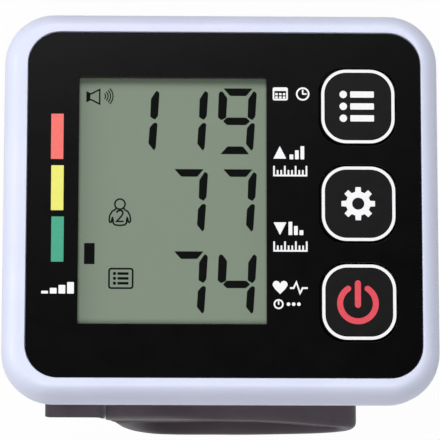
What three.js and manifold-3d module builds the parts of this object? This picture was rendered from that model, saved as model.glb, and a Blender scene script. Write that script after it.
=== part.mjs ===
// Wrist blood pressure monitor, in millimetres, with +Z up.
// It lies face up on its closed cuff. The origin is where it rests, under the middle of the casing.
// +X runs to the right of the display and +Y to its top. Places along Z are given as depths below the rim.
import * as THREE from "three";
import { mergeVertices } from "three/addons/utils/BufferGeometryUtils.js";
import Module from "manifold-3d";

const wasm = await Module();
wasm.setup();

// Sizes of the whole
const totalDepth = 55;
const casingWidth = 71.8;
const casingHeight = 64.8;
const casingDepth = 24;
const casingCorner = 8.3;
const casingWall = 1.6;
const fitGap = 0.1;
const runGap = 0.3;
const overrun = 1;
const weldTolerance = 1e-4;

// Shells
const rimRise = 5.6;
const rimReach = 2.9;
const partingDepth = 9;
const partingGap = 0.15;
const frontDraft = 0.27;
const rearDraft = 1.6;
const backRound = 2;
const frontWall = 1.4;

// Panel and display window
const panelMarginX = 7.2;
const panelMarginY = 7.5;
const panelCorner = 5.3;
const panelThick = 1.2;
const panelRecess = 0.5;
const panelShift = 0.45;
const windowLeftRoom = 8.48;
const windowSideRoom = 33.8;
const windowEndRoom = 16.4;
const windowCorner = 0.6;
const windowY = 0.58;
const lensThick = 0.8;

// Keys
const keyWidth = 12.2;
const keyHeight = 12.5;
const keyCorner = 3.9;
const keyInset = 13.5;
const keyY = 0;
const keyPitch = 16.25;
const keyProud = 0.3;
const keyTravel = 0.4;
const keyFlange = 0.7;
const keyFlangeThick = 0.8;

// Display module, its holder and the circuit board
const displayOverlapX = 3.2;
const displayOverlapY = 3.1;
const displayThick = 2.6;
const displayDepth = 2.2;
const holderWall = 1;
const stripWidth = 2;
const stripLengthShare = 0.86;
const boardThick = 1.2;
const boardDepth = 7.4;
const boardMargin = 1;

// Tact switches
const switchWidth = 6;
const switchTall = 2.2;
const plungerRadius = 1.5;
const plungerDip = 1;

// Screws and their posts
const screwSideInset = 7.9;
const screwEndInset = 5.8;
const screwToTray = 2.23;
const screwRadius = 1;
const screwHeadRadius = 1.7;
const screwHeadThick = 1.5;
const screwReach = 7;
const bossRadius = 2.2;
const postRadius = 2.6;
const postWeb = 3;

// Cells, tray and cover
const cellRadius = 5.25;
const cellNubRadius = 1.9;
const cellNubLength = 0.8;
const cellEdge = 0.5;
const cellDepth = 16.6;
const cellGap = 0.3;
const cellCount = 2;
const trayWall = 0.8;
const trayEndRoom = 8.4;
const contactRoom = 3.5;
const trayDepth = 9.9;
const contactSize = 7;
const contactThick = 0.4;
const coilRadius = 2.6;
const coilWire = 0.3;
const coilTurns = 2;
const coilLength = 3.2;
const doorFront = 10.9;
const doorBack = 22;
const doorEndRoom = 8.8;
const doorGap = 0.25;
const guideShare = 0.636;
const guideReach = 1.3;
const guideThick = 0.9;

// Pump
const pumpInset = 11.9;
const pumpDepth = 15.6;
const motorRadius = 6;
const motorWall = 0.5;
const motorEndRoom = 9.9;
const motorStop = 3.5;
const magnetThick = 1.4;
const endCapThick = 2;
const armatureRadius = 3.2;
const shaftRadius = 0.8;
const headWidth = 13;
const headLength = 12;
const headTall = 12;
const chamberRadius = 4.3;
const chamberLength = 6;
const eccentricRadius = 2.6;
const eccentricOffset = 1;
const eccentricLength = 4;

// Release valve
const valveInset = 12.4;
const valveShare = 0.2623;
const valveWidth = 9;
const valveFront = 9;
const valveBack = 15;
const stemRadius = 1.2;
const stemGap = 0.3;
const stemRoom = 0.5;
const valveSpringLength = 3.4;
const valveSpringRadius = 1.9;
const valveSpringWire = 0.22;
const valveSpringTurns = 3;
const valveHeadRadius = 2.7;
const valveHeadThick = 1;

// Air path
const nippleRadius = 1.1;
const nippleLength = 1.5;
const hoseRadius = 2.1;
const hoseBore = 1.35;
const manifoldX = 9;
const manifoldRadius = 2;
const manifoldDepth = 15.6;
const manifoldLow = -4;
const manifoldEnd = 1;
const inletShift = 0.7;
const inletY = 0;
const inletTopDepth = 20.7;

// Parts on the board
const chipSize = 9;
const chipThick = 1.2;
const chipX = 4;
const chipToBuzzer = 12;
const memorySize = 4.5;
const memoryX = -3.5;
const memoryEndRoom = 12.4;
const sensorSize = 7;
const sensorThick = 6.4;
const sensorX = -4;
const sensorY = 14;
const buzzerRadius = 5;
const buzzerThick = 2.6;
const buzzerX = 5;
const buzzerEndRoom = 8.4;

// Cuff: it is a little wider than the casing, and is shaped from the casing's back to the floor
const cuffOverhang = 0.25;
const cuffShare = 0.33705;
const foldShare = 0.56452;
const foldGap = 0.3;
const stripInset = 6.4;
const stripOverlap = 6.7;
const stripThick = 1.1;
const plateInset = 7;
const plateRight = 8;
const plateMargin = 11.3;
const plateThick = 1.1;
const clipWidth = 5;
const clipX = 4;
const clipY = 14;
const clipTall = 2.4;
const clipHook = 1.65;
const pouchShare = 0.22258;
const layerThick = 2.4;
const rearThick = 3;
const fabricWall = 0.7;
const hemRound = 0.7;
const hemShare = 0.3;
const bladderMargin = 5;
const stiffenerThick = 0.7;
const tabThick = 1;
const tabMargin = 17.3;
const tapeThick = 0.35;
const tapeMargin = 21.3;
const tapeInset = 3.4;

// Counts that set how finely round shapes are drawn
const cornerSteps = 4;
const rimSteps = 4;
const backSteps = 3;
const roundSides = 20;
const smallSides = 10;
const hoseSides = 8;
const hoseSteps = 8;
const wireSides = 5;
const coilSteps = 8;
const layerSteps = 26;

// Places that follow from the sizes above
const panelSeat = panelRecess + panelThick + fitGap;
const cavityFront = panelSeat + frontWall;
const innerHalfX = casingWidth / 2 - frontDraft - casingWall;
const innerHalfY = casingHeight / 2 - frontDraft - casingWall;
const innerCorner = casingCorner - frontDraft - casingWall;
const rearFront = partingDepth + partingGap;
const rearWallFront = casingDepth - casingWall;
const boardBack = boardDepth + boardThick;
const panelWidth = casingWidth - panelMarginX;
const panelHeight = casingHeight - panelMarginY;
const windowWidth = panelWidth - windowSideRoom;
const windowHeight = panelHeight - windowEndRoom;
const keyX = casingWidth / 2 - keyInset;
const windowX = panelShift - panelWidth / 2 + windowLeftRoom + windowWidth / 2;
const displayWidth = windowWidth + displayOverlapX;
const displayHeight = windowHeight + displayOverlapY;
const keyFlangeFront = cavityFront + runGap;
const keyFlangeBack = keyFlangeFront + keyFlangeThick;
const switchFront = boardDepth - fitGap - switchTall;
const layerFront = casingDepth + fitGap;
const pouchFront = layerFront + stripThick + runGap;
const cellSpan = cellRadius * 2 + cellGap;
const cellFirstX = -(casingWidth / 2) + frontDraft + rearDraft + casingWall + cellRadius - cellGap;
const trayRight = cellFirstX + cellSpan * (cellCount - 1) + cellRadius + cellGap;
const trayHalfLength = casingHeight / 2 - trayEndRoom;
const cellLength = 2 * trayHalfLength - contactRoom;
const doorHalfLength = casingHeight / 2 - doorEndRoom;
const guideLength = 2 * doorHalfLength * guideShare;
const screwRightX = casingWidth / 2 - screwSideInset;
const screwLeftX = trayRight + trayWall + postRadius + screwToTray;
const screwY = casingHeight / 2 - screwEndInset;
const pumpX = casingWidth / 2 - pumpInset;
const motorY = motorEndRoom - casingHeight / 2;
const motorLength = -motorStop - motorY;
const valveX = casingWidth / 2 - valveInset;
const valveY = casingHeight * valveShare;
const inletX = screwLeftX - inletShift;
const memoryY = memoryEndRoom - casingHeight / 2;
const buzzerY = buzzerEndRoom - casingHeight / 2;
const chipY = buzzerY + chipToBuzzer;
const manifoldHigh = valveY + manifoldEnd;
const cuffWidth = casingHeight + 2 * cuffOverhang;
const cuffHalf = casingWidth * cuffShare;
const stripLeft = stripInset - casingWidth / 2;
const stripRight = stripOverlap - cuffHalf;
const plateLeft = plateInset - cuffHalf;
const tapeRight = tapeInset - cuffHalf;
const cuffDepth = totalDepth - casingDepth;
const foldDepth = casingDepth + cuffDepth * foldShare;
const pouchThick = cuffDepth * pouchShare;
const plateHeight = cuffWidth - plateMargin;
const tabWidth = cuffWidth - tabMargin;
const tapeWidth = cuffWidth - tapeMargin;

const zOf = (depth) => totalDepth - depth;

// Materials
const material = (color, roughness, metalness = 0) =>
  new THREE.MeshStandardMaterial({ color, roughness, metalness });
const casingPlastic = material(0xdde2f6, 0.45);
const blackGloss = material(0x111112, 0.15);
const clearPlastic = material(0xbfcabc, 0.1);
const displayGlass = material(0x83927f, 0.3);
const greyPlastic = material(0xb9bbc0, 0.6);
const darkPlastic = material(0x2b2b2e, 0.6);
const boardGreen = material(0x1f6b45, 0.5);
const rubberGrey = material(0x55565a, 0.8);
const brightSteel = material(0xc6c8cc, 0.3, 1);
const brass = material(0xc9a45a, 0.35, 1);
const cellWrap = material(0x3c5f8f, 0.4, 0.3);
const hoseClear = material(0xd9dedd, 0.5);
const cuffFabric = material(0x4b464a, 0.9);
const bladderFilm = material(0x2e2e33, 0.5);
const tapeFabric = material(0x353237, 1);

const monitor = new THREE.Group();

// Adds one named sub-part, made of a geometry or of a solid.
function add(name, shape, finish) {
  const geometry = shape.isBufferGeometry ? shape : geometryOf(shape);
  const part = new THREE.Mesh(geometry, finish);
  part.name = name;
  monitor.add(part);
}

// Turns a closed geometry into a solid for cutting and joining.
function solidOf(geometry) {
  const bare = geometry.clone();
  bare.deleteAttribute("normal");
  bare.deleteAttribute("uv");
  const merged = mergeVertices(bare, weldTolerance);
  const vertProperties = new Float32Array(merged.attributes.position.array);
  const triVerts = new Uint32Array(merged.index.array);
  return new wasm.Manifold(new wasm.Mesh({ numProp: 3, vertProperties, triVerts }));
}

// Turns a solid back into a geometry.
function geometryOf(solid) {
  const mesh = solid.getMesh();
  const geometry = new THREE.BufferGeometry();
  geometry.setAttribute("position", new THREE.BufferAttribute(new Float32Array(mesh.vertProperties), 3));
  geometry.setIndex(new THREE.BufferAttribute(new Uint32Array(mesh.triVerts), 1));
  geometry.computeVertexNormals();
  return geometry;
}

const join = (first, ...others) => others.reduce((sum, shape) => sum.add(solidOf(shape)), solidOf(first));
const cut = (solid, ...tools) => tools.reduce((rest, shape) => rest.subtract(solidOf(shape)), solid);

// A box between two X, two Y and two depths.
function block(left, right, low, high, front, back) {
  const geometry = new THREE.BoxGeometry(right - left, high - low, back - front);
  return geometry.translate((left + right) / 2, (low + high) / 2, zOf((front + back) / 2));
}

// A round bar along X at a Y and a depth.
function barX(radius, left, right, y, depth, sides = roundSides) {
  const geometry = new THREE.CylinderGeometry(radius, radius, right - left, sides);
  return geometry.rotateZ(-Math.PI / 2).translate((left + right) / 2, y, zOf(depth));
}

// A round bar along Y at an X and a depth.
function barY(radius, low, high, x, depth, sides = roundSides) {
  const geometry = new THREE.CylinderGeometry(radius, radius, high - low, sides);
  return geometry.translate(x, (low + high) / 2, zOf(depth));
}

// A round bar along Z between two depths at an X and a Y.
function barZ(radius, front, back, x, y, sides = roundSides) {
  const geometry = new THREE.CylinderGeometry(radius, radius, back - front, sides);
  return geometry.rotateX(Math.PI / 2).translate(x, y, zOf((front + back) / 2));
}

// The outline of a rectangle with round corners, as a shape or as a hole in one.
function roundedOutline(outline, width, height, corner, x, y) {
  const right = width / 2 - corner;
  const top = height / 2 - corner;
  outline.absarc(x + right, y + top, corner, 0, Math.PI / 2);
  outline.absarc(x - right, y + top, corner, Math.PI / 2, Math.PI);
  outline.absarc(x - right, y - top, corner, Math.PI, Math.PI * 1.5);
  outline.absarc(x + right, y - top, corner, Math.PI * 1.5, Math.PI * 2);
  outline.closePath();
  return outline;
}

// A flat slab with round corners between two depths.
function slab(width, height, corner, x, y, front, back, holes = []) {
  const shape = roundedOutline(new THREE.Shape(), width, height, corner, x, y);
  shape.holes.push(...holes);
  const geometry = new THREE.ExtrudeGeometry(shape, {
    depth: back - front,
    bevelEnabled: false,
    curveSegments: cornerSteps,
  });
  return geometry.translate(0, 0, zOf(back));
}

// A closed shell through rounded rectangles at given depths, from the front to the back.
function loft(rings) {
  const positions = [];
  const index = [];
  for (const { halfX, halfY, corner, depth } of rings) {
    for (let quarter = 0; quarter < 4; quarter++) {
      const signX = quarter === 0 || quarter === 3 ? 1 : -1;
      const signY = quarter < 2 ? 1 : -1;
      for (let step = 0; step <= cornerSteps; step++) {
        const angle = ((quarter + step / cornerSteps) * Math.PI) / 2;
        const x = signX * (halfX - corner) + corner * Math.cos(angle);
        const y = signY * (halfY - corner) + corner * Math.sin(angle);
        positions.push(x, y, zOf(depth));
      }
    }
  }
  const count = 4 * (cornerSteps + 1);
  for (let ring = 0; ring + 1 < rings.length; ring++) {
    for (let i = 0; i < count; i++) {
      const a = ring * count + i;
      const b = ring * count + ((i + 1) % count);
      index.push(a, a + count, b, b, a + count, b + count);
    }
  }
  const last = (rings.length - 1) * count;
  for (let i = 1; i + 1 < count; i++) {
    index.push(0, i, i + 1);
    index.push(last, last + i + 1, last + i);
  }
  const geometry = new THREE.BufferGeometry();
  geometry.setAttribute("position", new THREE.Float32BufferAttribute(positions, 3));
  geometry.setIndex(index);
  return geometry;
}

// One ring of the casing, drawn in from its widest outline.
function casingRing(inset, depth) {
  return {
    halfX: casingWidth / 2 - inset,
    halfY: casingHeight / 2 - inset,
    corner: casingCorner - inset,
    depth,
  };
}

// The outline of a layer whose middle line and thickness are given as rows of X, depth and thickness.
function layerOutline(rows, inset) {
  const places = rows.map((row) => new THREE.Vector3(...row));
  const curve = new THREE.CatmullRomCurve3(places, false, "centripetal");
  const sides = [[], []];
  for (let step = 0; step <= layerSteps; step++) {
    const place = curve.getPoint(step / layerSteps);
    const ahead = curve.getTangent(step / layerSteps);
    const run = Math.hypot(ahead.x, ahead.y);
    const half = place.z / 2 - inset;
    for (const [side, sign] of [[0, 1], [1, -1]]) {
      const x = place.x + (sign * half * ahead.y) / run;
      const depth = Math.min(place.y - (sign * half * ahead.x) / run, totalDepth - inset);
      sides[side].push(new THREE.Vector2(x, zOf(depth)));
    }
  }
  const outline = [...sides[0], ...sides[1].reverse()];
  return THREE.ShapeUtils.isClockWise(outline) ? outline.reverse() : outline;
}

// A layer drawn out along Y and centred on it, with its hems rounded and its faces drawn in by an inset.
function drawnLayer(rows, width, hem = 0, inset = 0) {
  const edges = hem > 0 ? [[0, 1], [hemShare, hemShare], [1, 0]] : [[0, 0]];
  const ends = edges.map(([out, thin]) => ({ y: out * hem - width / 2, inset: inset + thin * hem }));
  const rings = [...ends, ...ends.map(({ y, inset }) => ({ y: -y, inset })).reverse()];
  const positions = [];
  const index = [];
  rings.forEach(({ y, inset: drawnIn }) => {
    for (const point of layerOutline(rows, drawnIn)) positions.push(point.x, y, point.y);
  });
  const first = layerOutline(rows, rings[0].inset);
  const count = first.length;
  const last = (rings.length - 1) * count;
  for (let ring = 0; ring + 1 < rings.length; ring++) {
    for (let i = 0; i < count; i++) {
      const a = ring * count + i;
      const b = ring * count + ((i + 1) % count);
      index.push(a, a + count, b, b, a + count, b + count);
    }
  }
  for (const [a, b, c] of THREE.ShapeUtils.triangulateShape(first, [])) {
    index.push(a, b, c, last + a, last + c, last + b);
  }
  const geometry = new THREE.BufferGeometry();
  geometry.setAttribute("position", new THREE.Float32BufferAttribute(positions, 3));
  geometry.setIndex(index);
  return geometry;
}

class Helix extends THREE.Curve {
  constructor(radius, length, turns) {
    super();
    this.radius = radius;
    this.length = length;
    this.turns = turns;
  }

  getPoint(share, target = new THREE.Vector3()) {
    const angle = share * this.turns * 2 * Math.PI;
    return target.set(this.radius * Math.cos(angle), this.radius * Math.sin(angle), this.length * share);
  }
}

// A coil spring of round wire that stands on the XY plane.
function coil(radius, wire, length, turns) {
  return new THREE.ExtrudeGeometry(new THREE.Shape(circle(wire, wireSides)), {
    steps: Math.round(turns * coilSteps),
    extrudePath: new Helix(radius, length - 2 * wire, turns),
  }).translate(0, 0, wire);
}

// The corners of a regular polygon that stands for a circle.
function circle(radius, sides) {
  return Array.from({ length: sides }, (_, corner) => {
    const angle = (corner / sides) * 2 * Math.PI;
    return new THREE.Vector2(radius * Math.cos(angle), radius * Math.sin(angle));
  });
}

// A hose with a bore, from one place to another, leaving each of them towards its handle.
function hose(places, steps = hoseSteps) {
  const section = new THREE.Shape(circle(hoseRadius, hoseSides));
  section.holes.push(new THREE.Path(circle(hoseBore, hoseSides)));
  const route = places.map(([x, y, depth]) => new THREE.Vector3(x, y, zOf(depth)));
  return new THREE.ExtrudeGeometry(section, { steps, extrudePath: new THREE.CubicBezierCurve3(...route) });
}

const keyPlaces = [
  { name: "memory_key", y: keyY + keyPitch },
  { name: "set_key", y: keyY },
  { name: "power_key", y: keyY - keyPitch },
];
const screwPlaces = [
  [screwLeftX, screwY],
  [screwRightX, screwY],
  [screwRightX, -screwY],
  [screwLeftX, -screwY],
];

// Front casing: a rim that rounds over to the side wall, a seat for the panel, and openings behind it
function frontCasing() {
  const rings = [];
  for (let step = 0; step <= rimSteps; step++) {
    const turn = (step / rimSteps) * (Math.PI / 2);
    rings.push(casingRing(rimReach * (1 - Math.sin(turn)), rimRise * (1 - Math.cos(turn))));
  }
  rings.push(casingRing(frontDraft, partingDepth));
  const inner = (depth) => ({ halfX: innerHalfX, halfY: innerHalfY, corner: innerCorner, depth });
  const seat = slab(
    panelWidth + 2 * fitGap, panelHeight + 2 * fitGap, panelCorner + fitGap,
    panelShift, 0, -overrun, panelSeat,
  );
  const displayOpening = slab(
    displayWidth + 2 * runGap, displayHeight + 2 * runGap, windowCorner,
    windowX, windowY, 0, cavityFront + overrun,
  );
  const keyOpenings = keyPlaces.map(({ y }) =>
    slab(
      keyWidth + 2 * runGap, keyHeight + 2 * runGap, keyCorner + runGap, keyX, y,
      0, cavityFront + overrun,
    ),
  );
  const hollow = cut(
    solidOf(loft(rings)),
    seat,
    loft([inner(cavityFront), inner(partingDepth + overrun)]),
    displayOpening,
    ...keyOpenings,
  );
  const bosses = screwPlaces.map(([x, y]) =>
    barZ(bossRadius, cavityFront - casingWall / 2, partingDepth - partingGap, x, y),
  );
  const bores = screwPlaces.map(([x, y]) =>
    barZ(screwRadius + fitGap, cavityFront + fitGap, partingDepth + overrun, x, y, smallSides),
  );
  return cut(bosses.reduce((sum, boss) => sum.add(solidOf(boss)), hollow), ...bores);
}

// Rear casing and the battery cover, both cut from one tapering shell
function rearShell() {
  const roundRings = (inset, back) => {
    const rings = [];
    for (let step = 0; step <= backSteps; step++) {
      const turn = (step / backSteps) * (Math.PI / 2);
      const round = backRound * (1 - Math.cos(turn));
      rings.push(casingRing(
        frontDraft + rearDraft + inset + round,
        back - backRound + backRound * Math.sin(turn),
      ));
    }
    return rings;
  };
  const outer = loft([casingRing(frontDraft, rearFront), ...roundRings(0, casingDepth)]);
  const inner = loft([
    casingRing(frontDraft + casingWall, rearFront - overrun),
    ...roundRings(casingWall, rearWallFront),
  ]);
  return { outer: solidOf(outer), inner: solidOf(inner) };
}

const shell = rearShell();

function rearCasing() {
  const ledge = rearFront + postWeb;
  const posts = screwPlaces.map(([x, y]) => barZ(postRadius, rearFront, casingDepth, x, y));
  const bores = screwPlaces.flatMap(([x, y]) => [
    barZ(screwRadius + fitGap, rearFront - overrun, casingDepth, x, y, smallSides),
    barZ(screwHeadRadius + fitGap, ledge, casingDepth + overrun, x, y, smallSides),
  ]);
  const doorway = block(
    -casingWidth / 2 - overrun, cellFirstX, -doorHalfLength, doorHalfLength, doorFront, doorBack,
  );
  const clipHoles = clipPlaces().map(([x, y]) =>
    block(
      x - clipWidth / 2 - runGap, x + clipWidth / 2 + runGap,
      y - plateThick - runGap, y + plateThick + runGap,
      rearWallFront - overrun, casingDepth + overrun,
    ),
  );
  const inletRadius = hoseRadius + runGap;
  const inletHole = barZ(inletRadius, rearWallFront - overrun, casingDepth + overrun, inletX, inletY);
  const walls = posts.reduce((sum, post) => sum.add(solidOf(post)), shell.outer.subtract(shell.inner));
  return cut(walls.intersect(shell.outer), ...bores, doorway, inletHole, ...clipHoles);
}

function clipPlaces() {
  return [[clipX, clipY], [clipX, -clipY], [inletX, clipY], [inletX, -clipY]];
}

function batteryCover() {
  const door = block(
    -casingWidth / 2 - overrun, cellFirstX, -doorHalfLength + doorGap, doorHalfLength - doorGap,
    doorFront + doorGap, doorBack - doorGap,
  );
  const skin = shell.outer.subtract(shell.inner).intersect(solidOf(door));
  const wallX = -(casingWidth / 2) + frontDraft + casingWall / 2;
  const reach = wallX + rearDraft + casingWall / 2 + guideReach;
  const guides = [doorFront + doorGap, doorBack - doorGap - guideThick].map((front) =>
    block(wallX, reach, -guideLength / 2, guideLength / 2, front, front + guideThick),
  );
  return guides.reduce((sum, guide) => sum.add(solidOf(guide)), skin).intersect(shell.outer);
}

add("front_casing", frontCasing(), casingPlastic);
add("rear_casing", rearCasing(), casingPlastic);
add("battery_cover", batteryCover(), casingPlastic);

// Panel with its window and key holes, and the clear lens in the window
const panelHoles = [
  roundedOutline(new THREE.Path(), windowWidth, windowHeight, windowCorner, windowX, windowY),
  ...keyPlaces.map(({ y }) =>
    roundedOutline(
      new THREE.Path(), keyWidth + 2 * runGap, keyHeight + 2 * runGap, keyCorner + runGap, keyX, y,
    ),
  ),
];
add(
  "front_panel",
  slab(
    panelWidth, panelHeight, panelCorner, panelShift, 0, panelRecess, panelRecess + panelThick, panelHoles,
  ),
  blackGloss,
);
add(
  "window_lens",
  slab(
    windowWidth - 2 * fitGap, windowHeight - 2 * fitGap, windowCorner - fitGap,
    windowX, windowY, panelRecess, panelRecess + lensThick,
  ),
  clearPlastic,
);

// Display module, holder frame and the two elastomer strips that join it to the board
add(
  "display_module",
  slab(
    displayWidth, displayHeight, windowCorner, windowX, windowY, displayDepth, displayDepth + displayThick,
  ),
  displayGlass,
);
const holderHole = roundedOutline(
  new THREE.Path(), displayWidth + 2 * fitGap, displayHeight + 2 * fitGap, windowCorner, windowX, windowY,
);
add(
  "display_holder",
  slab(
    displayWidth + 2 * holderWall, displayHeight + 2 * holderWall, holderWall + windowCorner,
    windowX, windowY, cavityFront + fitGap, boardDepth - fitGap, [holderHole],
  ),
  greyPlastic,
);
for (const [name, side] of [["upper_contact_strip", 1], ["lower_contact_strip", -1]]) {
  const middle = windowY + side * (displayHeight / 2 - stripWidth);
  const half = (displayWidth * stripLengthShare) / 2;
  add(
    name,
    block(
      windowX - half, windowX + half, middle - stripWidth / 2, middle + stripWidth / 2,
      displayDepth + displayThick + fitGap, boardDepth - fitGap,
    ),
    rubberGrey,
  );
}

// Circuit board with clearance round the screw bosses
const board = slab(
  2 * (innerHalfX - boardMargin), 2 * (innerHalfY - boardMargin), innerCorner - boardMargin,
  0, 0, boardDepth, boardBack,
);
const boardHoles = screwPlaces.map(([x, y]) =>
  barZ(bossRadius + runGap, boardDepth - overrun, boardBack + overrun, x, y),
);
add("circuit_board", cut(solidOf(board), ...boardHoles), boardGreen);
const partFront = boardBack + fitGap;
add(
  "processor",
  block(
    chipX - chipSize / 2, chipX + chipSize / 2, chipY - chipSize / 2, chipY + chipSize / 2,
    partFront, partFront + chipThick,
  ),
  darkPlastic,
);
add(
  "memory_chip",
  block(
    memoryX - memorySize / 2, memoryX + memorySize / 2, memoryY - memorySize / 2, memoryY + memorySize / 2,
    partFront, partFront + chipThick,
  ),
  darkPlastic,
);
add(
  "buzzer",
  cut(
    solidOf(barZ(buzzerRadius, partFront, partFront + buzzerThick, buzzerX, buzzerY)),
    barZ(
      nippleRadius, partFront + buzzerThick / 2, partFront + buzzerThick + overrun,
      buzzerX, buzzerY, smallSides,
    ),
  ),
  darkPlastic,
);

// Keys: the cap with its flange and stem, the plunger that rides under it, and the switch body
for (const { name, y } of keyPlaces) {
  const cap = join(
    slab(keyWidth, keyHeight, keyCorner, keyX, y, panelRecess - keyProud, keyFlangeBack),
    slab(
      keyWidth + 2 * keyFlange, keyHeight + 2 * keyFlange, keyCorner + keyFlange,
      keyX, y, keyFlangeFront, keyFlangeBack,
    ),
  );
  add(name, cap, blackGloss);
  const plunger = barZ(
    plungerRadius, keyFlangeBack + fitGap / 2, switchFront + plungerDip, keyX, y, smallSides,
  );
  add(name + "_plunger", plunger, darkPlastic);
  const body = block(
    keyX - switchWidth / 2, keyX + switchWidth / 2, y - switchWidth / 2, y + switchWidth / 2,
    switchFront, boardDepth - fitGap,
  );
  const well = barZ(
    plungerRadius + fitGap, switchFront - overrun, switchFront + plungerDip + keyTravel + fitGap,
    keyX, y, smallSides,
  );
  add(name + "_switch", cut(solidOf(body), well), brightSteel);
}

// Screws from the back, with their heads on the webs of the posts
screwPlaces.forEach(([x, y], number) => {
  const seatDepth = rearFront + postWeb;
  const headFront = seatDepth + fitGap;
  const head = barZ(screwHeadRadius, headFront, headFront + screwHeadThick, x, y, smallSides);
  const shank = barZ(screwRadius, seatDepth - screwReach, seatDepth + screwHeadThick, x, y, smallSides);
  add("casing_screw_" + (number + 1), join(head, shank), brightSteel);
});

// Battery tray: a front wall, a right wall and two end walls, open to the left and to the back
const trayBack = rearWallFront - fitGap;
const trayLeft = cellFirstX - cellRadius;
const trayEnd = trayHalfLength + trayWall;
add(
  "battery_tray",
  join(
    block(trayLeft, trayRight + trayWall, -trayEnd, trayEnd, trayDepth, trayDepth + trayWall),
    block(trayRight, trayRight + trayWall, -trayEnd, trayEnd, trayDepth, trayBack),
    block(trayLeft + backRound, trayRight + trayWall, -trayEnd, -trayHalfLength, trayDepth, trayBack),
    block(trayLeft + backRound, trayRight + trayWall, trayHalfLength, trayEnd, trayDepth, trayBack),
  ),
  greyPlastic,
);

// Cells, each with its button at one end and a spring contact at the other, turned about in the second one
for (let cell = 0; cell < cellCount; cell++) {
  const x = cellFirstX + cell * cellSpan;
  const side = cell % 2 === 0 ? 1 : -1;
  const number = cell + 1;
  const half = cellLength / 2 - cellNubLength;
  const profile = [
    [0, -half],
    [cellRadius - cellEdge, -half],
    [cellRadius, -half + cellEdge],
    [cellRadius, half - cellEdge],
    [cellRadius - cellEdge, half],
    [cellNubRadius, half],
    [cellNubRadius, half + cellNubLength],
    [0, half + cellNubLength],
  ].map(([radius, height]) => new THREE.Vector2(radius, height));
  const shift = side * (trayHalfLength - contactThick - 2 * fitGap - half - cellNubLength);
  const body = new THREE.LatheGeometry(profile, roundSides);
  if (side < 0) body.rotateX(Math.PI);
  add("cell_" + number, body.translate(x, shift, zOf(cellDepth)), cellWrap);

  const plate = (at) =>
    block(
      x - contactSize / 2, x + contactSize / 2, at - contactThick / 2, at + contactThick / 2,
      cellDepth - contactSize / 2, cellDepth + contactSize / 2,
    );
  const plateY = trayHalfLength - fitGap - contactThick / 2;
  add("flat_contact_" + number, plate(side * plateY), brass);
  const spring = coil(coilRadius, coilWire, coilLength, coilTurns);
  spring.rotateX(side > 0 ? -Math.PI / 2 : Math.PI / 2);
  spring.translate(x, -side * (plateY + contactThick / 2 - coilWire), zOf(cellDepth));
  add("spring_contact_" + number, join(plate(-side * plateY), spring), brightSteel);
}

// Pump: a motor can with its magnet and end cap, a rotor with an eccentric, and the pump head
const motorEnd = motorY + motorLength;
const canProfile = [
  [shaftRadius + runGap, 0],
  [motorRadius, 0],
  [motorRadius, motorLength],
  [motorRadius - motorWall, motorLength],
  [motorRadius - motorWall, motorWall],
  [shaftRadius + runGap, motorWall],
  [shaftRadius + runGap, 0],
];
const turned = (profile, low) =>
  new THREE.LatheGeometry(profile.map(([radius, height]) => new THREE.Vector2(radius, height)), roundSides)
    .translate(pumpX, low, zOf(pumpDepth));
add("motor_can", turned(canProfile, motorY), brightSteel);
const magnetOuter = motorRadius - motorWall - fitGap;
const magnetLow = motorWall + runGap;
const magnetHigh = motorLength - endCapThick;
const ringProfile = (inner, outer, low, high) => [
  [inner, low],
  [outer, low],
  [outer, high],
  [inner, high],
  [inner, low],
];
add(
  "motor_magnet",
  turned(ringProfile(magnetOuter - magnetThick, magnetOuter, magnetLow, magnetHigh), motorY),
  darkPlastic,
);
add(
  "motor_end_cap",
  turned(ringProfile(shaftRadius + fitGap, magnetOuter, magnetHigh + runGap, motorLength), motorY),
  darkPlastic,
);
const chamberLow = motorEnd + fitGap;
const eccentricLow = chamberLow + (chamberLength - eccentricLength) / 2;
add(
  "pump_rotor",
  join(
    barY(
      shaftRadius, motorY + motorWall + fitGap, eccentricLow + eccentricLength,
      pumpX, pumpDepth, smallSides,
    ),
    barY(armatureRadius, motorY + magnetLow + runGap, motorY + magnetHigh - runGap, pumpX, pumpDepth),
    barY(eccentricRadius, eccentricLow, eccentricLow + eccentricLength, pumpX + eccentricOffset, pumpDepth),
  ),
  brightSteel,
);
const headLeft = pumpX - headWidth / 2;
const outletY = chamberLow + chamberLength + (headLength - chamberLength) / 2;
const headBlock = join(
  block(
    headLeft, pumpX + headWidth / 2, chamberLow, chamberLow + headLength,
    pumpDepth - headTall / 2, pumpDepth + headTall / 2,
  ),
  barX(nippleRadius, headLeft - nippleLength, headLeft + overrun, outletY, pumpDepth, smallSides),
);
add(
  "pump_head",
  cut(headBlock, barY(chamberRadius, chamberLow - overrun, chamberLow + chamberLength, pumpX, pumpDepth)),
  darkPlastic,
);

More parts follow.
